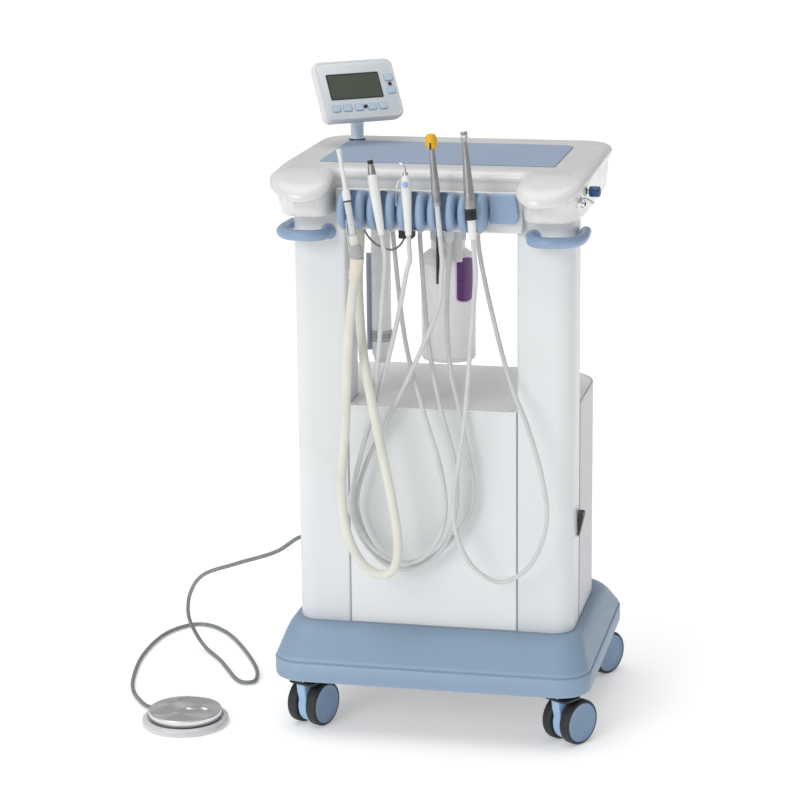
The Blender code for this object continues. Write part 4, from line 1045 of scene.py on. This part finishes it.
# ---------------------------------------------------------------- instruments
def turned(name, line, profile, body, finish_used, replaces=(), segments=40, sharp=34.0):
    return piece(name, lathe(line.mid, line.way, profile, segments), body, finish_used, replaces,
        sharp=sharp)


def grooves(profile_r, s0, s1, count, deep=0.0004):
    """Fine rings turned into a straight grip."""
    out = []
    for k in range(count):
        a = s0 + (s1 - s0) * k / count
        b = s0 + (s1 - s0) * (k + 0.5) / count
        out += [(profile_r, a), (profile_r, b - 0.0002), (profile_r - deep, b),
            (profile_r - deep, a + (s1 - s0) / count - 0.0002)]
    return out


def suction():
    turned("suction_grip", SUCTION, [(0.0048, END), (0.0054, -0.032), (0.0054, -0.004), (0.0048, -0.0035),
        (0.0048, -0.001), (0.0055, -0.0005), (0.0055, 0.0185)], "suction", TUBE_WHITE,
        ["suction_handle"])
    turned("suction_ring", SUCTION, [(0.005, 0.018), (0.0059, 0.0182), (0.0059, 0.0202), (0.005, 0.0204)],
        "suction", BLACK)
    turned("suction_collar", SUCTION, [(0.005, 0.0202), (0.0062, 0.0206), (0.0064, 0.029), (0.006, 0.035),
        (0.0046, 0.0378), (0.0038, 0.0382)], "suction", HAND_WHITE)
    turned("suction_tube", SUCTION, [(0.0036, 0.0382), (0.0034, 0.084), (0.0037, 0.09), (0.004, 0.095),
        (0.004, 0.1006), (0.0037, 0.101), (0.003, 0.101), (0.0029, 0.092), (0.0, 0.0915)], "suction",
        HAND_WHITE, ["suction_tip"])


def scaler():
    turned("scaler_shell", SCALER, [(0.0044, END), (0.0048, -0.033), (0.006, -0.022), (0.0072, 0.004),
        (0.008, 0.024), (0.0082, 0.034), (0.0081, 0.05), (0.0076, 0.058), (0.007, 0.0604), (0.0064, 0.0608)],
        "scaler", HAND_WHITE, ["scaler_body"])
    turned("scaler_nose", SCALER, [(0.0064, 0.0604), (0.0066, 0.0612), (0.0063, 0.0628), (0.0059, 0.063),
        (0.0059, 0.064), (0.0062, 0.0642), (0.0052, 0.0715), (0.0045, 0.0772), (0.004, 0.0776)], "scaler",
        HAND_STEEL)
    turned("scaler_band", SCALER, [(0.004, 0.0774), (0.0045, 0.0777), (0.0044, 0.0828), (0.0036, 0.0832)],
        "scaler", BLACK)
    tip = [SCALER.at(0.083), SCALER.at(0.0865), SCALER.at(0.089) + Vector((-0.0004, 0, 0)), SCALER.at(0.0915)
        + Vector((-0.0011, 0, 0))]
    piece("scaler_tip", tube(even(tip, 0.0006), lambda t: 0.0014 - 0.0009 * t, 16), "scaler", CHROME)


def syringe():
    turned("syringe_shell", SYRINGE, [(0.0044, END), (0.0048, -0.033), (0.0058, -0.022), (0.0068, 0.004),
        (0.0078, 0.022), (0.0081, 0.033), (0.008, 0.046), (0.0072, 0.052), (0.0058, 0.0562),
        (0.0048, 0.0584), (0.0034, 0.06)], "syringe", HAND_WHITE, ["syringe_body"])
    nose = SYRINGE.at(0.0595)
    spout = [nose, nose + SYRINGE.way * 0.01, nose + SYRINGE.way * 0.015 + Vector((-0.003, 0, 0)),
        nose + SYRINGE.way * 0.0175 + Vector((-0.0075, 0.001, 0)), nose + SYRINGE.way * 0.0168
        + Vector((-0.0115, 0.002, 0))]
    piece("syringe_spout", tube(even(spout, 0.001), 0.0014, 18), "syringe", CHROME,
        ["syringe_nozzle"])
    turned("syringe_nut", SYRINGE, [(0.003, 0.0588), (0.0042, 0.0592), (0.0044, 0.062), (0.0036, 0.0635),
        (0.0016, 0.0638)], "syringe", CHROME, segments=24)
    press = joint_axis("syringe_button_press")
    pad = SYRINGE.at(0.0455) - press * 0.01
    piece("syringe_key", lathe(pad, -press, [(0.004, -0.0005), (0.0042, 0.001), (0.004, 0.0022),
        (0.003, 0.0029), (0.0, 0.003)], 36), "syringe_button", BUTTON_BLUE,
        ["syringe_button"])
    piece("syringe_key_boot", lathe(pad, press, [(0.0, 0.0024), (0.0044, 0.0023), (0.0044, 0.0008),
        (0.0048, 0.0007), (0.0053, 0.0034), (0.0, 0.005)], 32), "syringe", HAND_WHITE)
    lever = [SYRINGE.at(0.054) + Vector((-0.0055, 0.0, 0.0)), SYRINGE.at(0.049)
        + Vector((-0.0115, -0.002, 0)), SYRINGE.at(0.033) + Vector((-0.015, -0.004, 0)), SYRINGE.at(0.012)
        + Vector((-0.0165, -0.005, 0))]
    piece("syringe_lever", tube(even(lever, 0.0012), 0.001, 14), "syringe", CHROME)


def turbine():
    turned("turbine_sleeve", TURBINE, [(0.0044, END), (0.0046, -0.03), (0.0042, -0.028), (0.0042, 0.012),
        (0.005, 0.0132), (0.006, 0.014)], "turbine", TUBE_WHITE)
    profile = [(0.0058, 0.0138), (0.0064, 0.0142), (0.0066, 0.016)]
    profile += grooves(0.0069, 0.018, 0.03, 7, 0.0003)
    profile += [(0.0069, 0.032), (0.0066, 0.044), (0.0058, 0.062), (0.005, 0.079), (0.0044, 0.097),
        (0.0042, 0.102)]
    turned("turbine_shaft", TURBINE, profile, "turbine", HAND_STEEL, ["turbine_handpiece"])
    turned("turbine_cap", TURBINE, [(0.0048, 0.101), (0.0066, 0.1016), (0.0084, 0.105), (0.0092, 0.109),
        (0.0094, 0.113), (0.009, 0.118), (0.0076, 0.1225), (0.005, 0.1248), (0.0, 0.1255)], "turbine",
        YELLOW, sharp=60.0)
    face = TURBINE.at(0.108) + Vector((0, -0.0089, 0))
    piece("turbine_cap_slot",
        loft([[face + Vector((x, 0.001, z)) for x, z in rect(-0.0015, 0.0015, -0.0065, 0.0045, 0.0014)],
        [face + Vector((x, -0.0004, z)) for x, z in rect(-0.0015, 0.0015, -0.0065, 0.0045, 0.0014)]]),
        "turbine", LCD_RIM)


def motor():
    turned("motor_socket", MOTOR, [(0.005, END), (0.0056, -0.033), (0.0063, -0.026), (0.0066, -0.005),
        (0.0082, -0.0036)], "motor", HAND_WHITE)
    turned("motor_ring", MOTOR, [(0.008, -0.004), (0.0093, -0.0034), (0.0094, -0.0024)] + grooves(0.0094,
        -0.0015, 0.011, 6, 0.0004) + [(0.0094, 0.0126), (0.0085, 0.0132)], "motor", BLACK,
        ["motor_handpiece"])
    profile = [(0.0084, 0.0134), (0.0088, 0.0138), (0.009, 0.018), (0.009, 0.024), (0.0086, 0.0244),
        (0.0086, 0.0254), (0.0089, 0.0258), (0.0085, 0.035), (0.0081, 0.038), (0.0078, 0.0382),
        (0.0078, 0.039), (0.008, 0.0392), (0.0073, 0.052), (0.0062, 0.072), (0.0052, 0.092), (0.0045, 0.107),
        (0.0041, 0.116), (0.0044, 0.119), (0.0053, 0.1216), (0.0054, 0.123), (0.0054, 0.1302),
        (0.0048, 0.1318), (0.0, 0.132)]
    turned("contra_angle_shell", MOTOR, profile, "motor", HAND_STEEL, ["contra_angle"])
    head = MOTOR.at(0.1265)
    piece("contra_angle_head", lathe(head + Vector((0, 0.004, 0)), (0, -1, 0.05),
        [(0.004, 0.0), (0.0044, 0.001), (0.0044, 0.009), (0.0038, 0.01), (0.0018, 0.0102), (0.0014, 0.0115),
        (0.0, 0.0116)], 32), "motor", CHROME)


suction()
scaler()
syringe()
turbine()
motor()


# ---------------------------------------------------------------- glands, cuff and the short cable
def under_worktop():
    for name, path, length in (("scaler", scaler_path, 0.04), ("syringe", syringe_path, 0.04),
            ("turbine", turbine_path, 0.056), ("motor", motor_path, 0.04)):
        top = path[0]
        piece("gland_" + name, lathe((top.x, top.y, UNDER), (0, 0, -1), [(0.01, 0.0), (0.0102, 0.002),
            (0.0088, 0.004), (0.0084, length * 0.62), (0.0078, length * 0.8), (0.0052, length - 0.001),
            (0.0038, length)], 36), "cart", GLAND_WHITE, sharp=45.0)
    top = suction_path[0]
    piece("gland_suction", lathe((top.x, top.y, UNDER), (0, 0, -1), [(0.013, 0.0), (0.0132, 0.003),
        (0.0112, 0.005), (0.0104, 0.024), (0.0078, 0.03)], 36), "cart", GLAND_WHITE,
        sharp=45.0)
    upper = [p for p in even(list(reversed(suction_path)), 0.002) if p.z > 0.77 and p.y < -0.215]
    low = [p for p in upper if 0.772 < p.z < 0.808]
    piece("suction_cuff", tube(low, lambda t: 0.0112 - 0.0022 * t, 32), "suction", CUFF_CREAM,
        sharp=50.0)
    collar = [p for p in upper if 0.806 < p.z < 0.826]
    piece("suction_sleeve", tube(collar, lambda t: 0.0096 + 0.0012 * t, 32), "suction", FITTING_GREY,
        sharp=50.0)
    for word, side in SIDES:
        a = SUCTION.at(-0.01) + Vector((side * 0.0066, -0.001, 0))
        b = low[0] + Vector((side * 0.01, 0, 0.002))
        piece("suction_clip_" + word, tube(even([a, (a + b) / 2 + Vector((side * 0.0012, 0, 0)), b], 0.002),
            0.0011, 12), "suction", CHROME)
    cable = [(-0.1133, -0.16, 0.86), (-0.1125, -0.16, 0.832), (-0.0952, -0.162, 0.81),
        (-0.0693, -0.163, 0.8005), (-0.053, -0.162, 0.8097), (-0.0439, -0.16, 0.832), (-0.0435, -0.16, 0.86)]
    piece("short_cable", tube(even([Vector(p) for p in cable], 0.002), 0.0017, 14), "cart", FOOT_HOSE)
    piece("connector_block", block((-0.052, -0.185, 0.823), (-0.029, -0.16, 0.8615)), "cart", BLACK,
        bevel=0.0015)


under_worktop()


# ---------------------------------------------------------------- bottle and canister
def vessels():
    low = node_box("water_bottle")[0]
    (x, y, _), (r, _, _) = middle("water_bottle")
    section = curve_through([(0.038, 0.001), (0.0425, 0.0022), (0.0445, 0.0085), (r, 0.02), (r, 0.15),
        (0.044, 0.162), (0.0405, 0.1735), (0.033, 0.18), (0.0285, 0.1835)], 4)
    profile = [(0.0, 0.004), (0.03, 0.003)] + [(p.x, max(p.y, 0.0005)) for p in section]
    profile += [(0.0282, 0.185), (0.0282, 0.196), (0.0278, 0.1985), (0.024, 0.2)]
    piece("bottle_skin", lathe((x, y, low.z), (0, 0, 1), profile, 72), "cart", BOTTLE,
        ["water_bottle"], sharp=45.0)
    ribs = []
    for k in range(36):
        turn = 2 * math.pi * k / 36
        ribs.append(lathe((x + 0.0284 * math.cos(turn), y + 0.0284 * math.sin(turn), low.z + 0.199),
            (0, 0, 1), [(0.0008, 0.0), (0.0008, 0.019), (0.0, 0.0196)], 8))
    cap = lathe((x, y, low.z + 0.198), (0, 0, 1), [(0.027, 0.0), (0.0285, 0.001), (0.0285, 0.02),
        (0.0265, 0.0226), (0.0185, 0.0232), (0.018, 0.024), (0.018, 0.06), (0.0176, 0.0637)], 64)
    piece("bottle_cap", together(cap, *ribs), "cart", GLAND_WHITE, sharp=40.0)

    def around(turn, radius, z):
        return Vector((x + radius * math.sin(turn), y - radius * math.cos(turn), z))

    centre_turn = math.radians(50.0)
    half_turn = 0.37
    mid_z = 0.7385
    for name, grow, out, material in (("label_border", 0.0022, 0.0003, LABEL_RIM),
            ("label_plain", 0.0, 0.0006, LABEL)):
        rings = []
        for k in range(25):
            turn = centre_turn - half_turn - grow / r + (2 * half_turn + 2 * grow / r) * k / 24
            across = (turn - centre_turn) / (half_turn + grow / r)
            tall = (0.029 + grow) + 0.007 * math.sqrt(max(0.0, 1.0 - across * across))
            rings.append([around(turn, r + out, mid_z - tall), around(turn, r + out, mid_z + tall),
                around(turn, r - 0.0004, mid_z + tall), around(turn, r - 0.0004, mid_z - tall)])
        piece(name, loft(rings), "cart", material, sharp=60.0)
    dip = [(-0.0061, -0.098, 0.86), (-0.0061, -0.098, 0.8205), (-0.0064, -0.0975, 0.79),
        (-0.0067, -0.0965, 0.734)]
    piece("dip_tube", tube(even([Vector(p) for p in dip], 0.004), 0.0027, 16), "cart", BLACK)
    piece("air_tube", tube(even([Vector((0.0255, -0.0985, z)) for z in (0.86, 0.82, 0.78, 0.772)], 0.004),
        0.0085, 24), "cart", GLAND_WHITE, sharp=50.0)
    low = node_box("suction_canister")[0]
    (x, y, _), (r, _, _) = middle("suction_canister")
    piece("canister_skin", lathe((x, y, low.z), (0, 0, 1), [(0.0, 0.0), (0.0105, 0.0), (0.012, 0.001),
        (0.0138, 0.01), (0.0158, 0.0132), (r, 0.015), (r, 0.219), (0.0155, 0.2215), (0.013, 0.224),
        (0.013, 0.2715)], 56), "cart", CANISTER, ["suction_canister"], sharp=45.0)
    for k, (z0, z1) in enumerate(((0.036, 0.0385), (0.04, 0.05), (0.0515, 0.054))):
        piece("canister_ring_%d" % (k + 1), lathe((x, y, low.z + z0), (0, 0, 1),
            [(r - 0.0005, 0.0), (r + 0.0012, 0.0004), (r + 0.0012, z1 - z0 - 0.0004), (r - 0.0005, z1 - z0)],
            48), "cart", FITTING_GREY)
    strip = [Vector((x - 0.0195, y - 0.006, z)) for z in (0.611, 0.65, 0.72, 0.772)]
    piece("canister_strip", tube(even(strip, 0.01), 0.0038, 16), "cart", STRIPE, sharp=50.0)


vessels()


# ---------------------------------------------------------------- side valve and mains switch
def side_fittings():
    place = joint_place("side_valve_turn")
    base_x = node_box("side_valve_knob")[0].x
    piece("valve_stem", lathe((base_x - 0.001, place.y, place.z), (1, 0, 0),
        [(0.0075, -0.002), (0.0078, 0.002), (0.006, 0.003), (0.0036, 0.0035), (0.0036, 0.0065)], 32), "cart",
        CHROME)
    profile = [(0.0058, 0.0052), (0.0072, 0.0055), (0.0078, 0.0066), (0.0078, 0.0212), (0.007, 0.0225),
        (0.0052, 0.0225), (0.0048, 0.022), (0.0, 0.022)]
    knob = lathe((base_x, place.y, place.z), (1, 0, 0), profile, 40)
    lobes = []
    for k in range(10):
        turn = 2 * math.pi * k / 10
        at = Vector((base_x + 0.0065, place.y + 0.0072 * math.cos(turn), place.z + 0.0072 * math.sin(turn)))
        lobes.append(lathe(at, (1, 0, 0), [(0.001, 0.0), (0.0012, 0.0006), (0.0012, 0.0138), (0.0, 0.0146)],
            12))
    piece("valve_knob_skin", together(knob, *lobes), "side_valve_knob", KNOB_BLUE,
        ["side_valve_knob"], sharp=40.0)
    outlet = Vector((0.239, -0.213, 0.893))
    piece("outlet_socket", lathe(outlet, (1, -0.25, -0.05), [(0.0085, -0.002), (0.0088, 0.001),
        (0.007, 0.0024), (0.0062, 0.003), (0.0062, 0.0085), (0.0052, 0.01), (0.0036, 0.01), (0.0034, 0.005),
        (0.0, 0.0048)], 36), "cart", CHROME)
    pin = [Vector((0.2425, -0.196, 0.8975)), Vector((0.25, -0.194, 0.895)), Vector((0.258, -0.191, 0.889))]
    piece("outlet_pin", tube(even(pin, 0.0015), 0.0019, 16), "cart", CHROME)
    switch_low, switch_high = node_box("mains_switch")
    y0, y1, z0, z1 = switch_low.y, switch_high.y, switch_low.z, switch_high.z
    wall = COL_OUT

    def side_rect(d, depth):
        return [Vector((wall + depth, y, z)) for y, z in rect(y0 - d, y1 + d, z0 - d, z1 + d, 0.0025, 6)]

    # The bezel takes the darkened side white: painted shade.
    piece("switch_bezel", loft([side_rect(0.0024, -0.001), side_rect(0.0024, 0.001),
        side_rect(0.0016, 0.0016), side_rect(0.0006, 0.0016), side_rect(0.0006, -0.001)], closed=True),
        "cart", SHADED_SIDE_WHITE, sharp=40.0)
    back = switch_low.x + 0.0002
    rocker = []
    for z, out in ((z0, back + 0.002), (z1 - 0.0042, switch_high.x), (z1 - 0.0006, switch_high.x - 0.0014),
            (z1, switch_high.x - 0.004)):
        rocker.append(at_z([(back, y0), (out, y0), (out, y1), (back, y1)], z))
    piece("switch_rocker", loft(rocker), "mains_switch", BLACK, ["mains_switch"],
        bevel=0.0007)


side_fittings()


# ---------------------------------------------------------------- foot control
def foot_control():
    (x, y, _), (r, _, _) = middle("foot_base")
    piece("foot_ring", lathe((x, y, 0.0), (0, 0, 1), [(0.0, 0.002), (0.066, 0.002), (0.066, 0.0004),
        (0.07, 0.0003), (0.0722, 0.0014), (r, 0.0034), (r, 0.007), (0.0716, 0.0096), (0.069, 0.0112),
        (0.065, 0.0122), (0.0636, 0.012), (0.0628, 0.008), (0.0, 0.0078)], 96), "cart", FOOT_CLEAR,
        ["foot_base"], sharp=50.0)
    disc_low, disc_high = node_box("foot_disc")
    disc_r = (disc_high.x - disc_low.x) / 2
    z0, z1 = disc_low.z, disc_high.z
    centre = Vector((x, y, z1))
    piece("foot_rim", lathe((x, y, z0), (0, 0, 1), [(0.059, 0.0), (0.06, 0.0002), (disc_r, 0.001),
        (disc_r, 0.01), (0.0603, 0.0112), (0.0596, 0.0118), (0.058, 0.0118), (0.056, 0.01), (0.0, 0.01)],
        96), "foot_disc", DISC_STEEL, ["foot_disc"], origin=centre, sharp=40.0)
    wings = 3
    wing_r, hub_r = 0.0588, 0.0006
    steps_r, steps_t = 18, 30
    for k in range(wings):
        start = math.radians(95.0) + 2 * math.pi * k / wings
        grid = []
        for i in range(steps_r + 1):
            rho = hub_r + (wing_r - hub_r) * i / steps_r
            row = []
            for j in range(steps_t + 1):
                t = j / steps_t
                swirl = 0.55 * math.sin(math.pi * rho / wing_r)
                turn = start + swirl + (2 * math.pi / wings) * t
                lift = 0.0034 * (1.0 - t) ** 1.6 * math.sin(math.pi * min(1.0, rho / wing_r) ** 0.8) ** 0.7
                dome = 0.0012 * (1.0 - (rho / wing_r) ** 2)
                row.append(Vector((x + rho * math.cos(turn), y + rho * math.sin(turn), z1 - 0.0036 + lift
                    * 0.6 + dome)))
            grid.append(row)
        under = [[p - Vector((0, 0, 0.0012 + 0.0022 * (1 - j / steps_t))) for j, p in enumerate(row)]
            for row in grid]
        verts = [p for row in grid for p in row] + [p for row in under for p in row]
        n = steps_t + 1
        half = len(verts) // 2
        faces = []
        for i in range(steps_r):
            for j in range(steps_t):
                a = i * n + j
                faces.append((a, a + n, a + n + 1, a + 1))
                faces.append((half + a, half + a + 1, half + a + n + 1, half + a + n))
        for i in range(steps_r):
            for j, flip in ((0, False), (steps_t, True)):
                a = i * n + j
                faces.append((a, half + a, half + a + n, a + n) if not flip else (a, a + n, half + a + n,
                    half + a))
        for i in (0, steps_r):
            for j in range(steps_t):
                a = i * n + j
                faces.append((a, a + 1, half + a + 1, half + a))
        piece("foot_wing_%d" % (k + 1), (verts, faces), "foot_disc", DISC_STEEL, origin=centre,
            sharp=45.0)
    piece("foot_rubber", lathe((x, y, 0.0), (0, 0, 1), [(0.056, 0.0018), (0.056, 0.0002), (0.06, 0.0002),
        (0.06, 0.0018)], 64), "cart", TYRE)


foot_control()


# ---------------------------------------------------------------- floor and light
def stage():
    mesh = bpy.data.meshes.new("floor")
    size = 14.0
    mesh.from_pydata([(-size, -size, 0), (size, -size, 0), (size, size, 0), (-size, size, 0)], [],
        [(0, 1, 2, 3)])
    floor = bpy.data.objects.new("floor", mesh)
    floor.location = (0, 0, -0.0004)
    mat, _, bsdf = shader_of("floor_white")
    bsdf.inputs["Base Color"].default_value = (0.9, 0.9, 0.9, 1.0)
    bsdf.inputs["Emission Color"].default_value = (1.0, 1.0, 1.0, 1.0)
    bsdf.inputs["Emission Strength"].default_value = 0.3
    bsdf.inputs["Roughness"].default_value = 0.9
    bsdf.inputs["Specular IOR Level"].default_value = 0.1
    mesh.materials.append(mat)
    bpy.context.scene.collection.objects.link(floor)


def sun_light(name, toward, angle, strength):
    """Even light from one direction; the angle makes its shadows soft."""
    data = bpy.data.lights.new(name, "SUN")
    data.energy = strength
    data.angle = math.radians(angle)
    light = bpy.data.objects.new(name, data)
    light.rotation_euler = Vector(toward).to_track_quat("Z", "Y").to_euler()
    bpy.context.scene.collection.objects.link(light)


def lights():
    world = bpy.data.worlds.new("studio")
    world.use_nodes = True
    background = world.node_tree.nodes["Background"]
    background.inputs["Color"].default_value = (1.0, 1.0, 1.0, 1.0)
    background.inputs["Strength"].default_value = 0.4
    bpy.context.scene.world = world
    sun_light("key", (-0.42, -0.86, 0.42), 28.0, 0.93)
    sun_light("overhead", (-0.16, -0.05, 1.0), 60.0, 1.38)
    view = bpy.context.scene.view_settings
    view.view_transform = "Standard"
    view.look = "None"


stage()
lights()
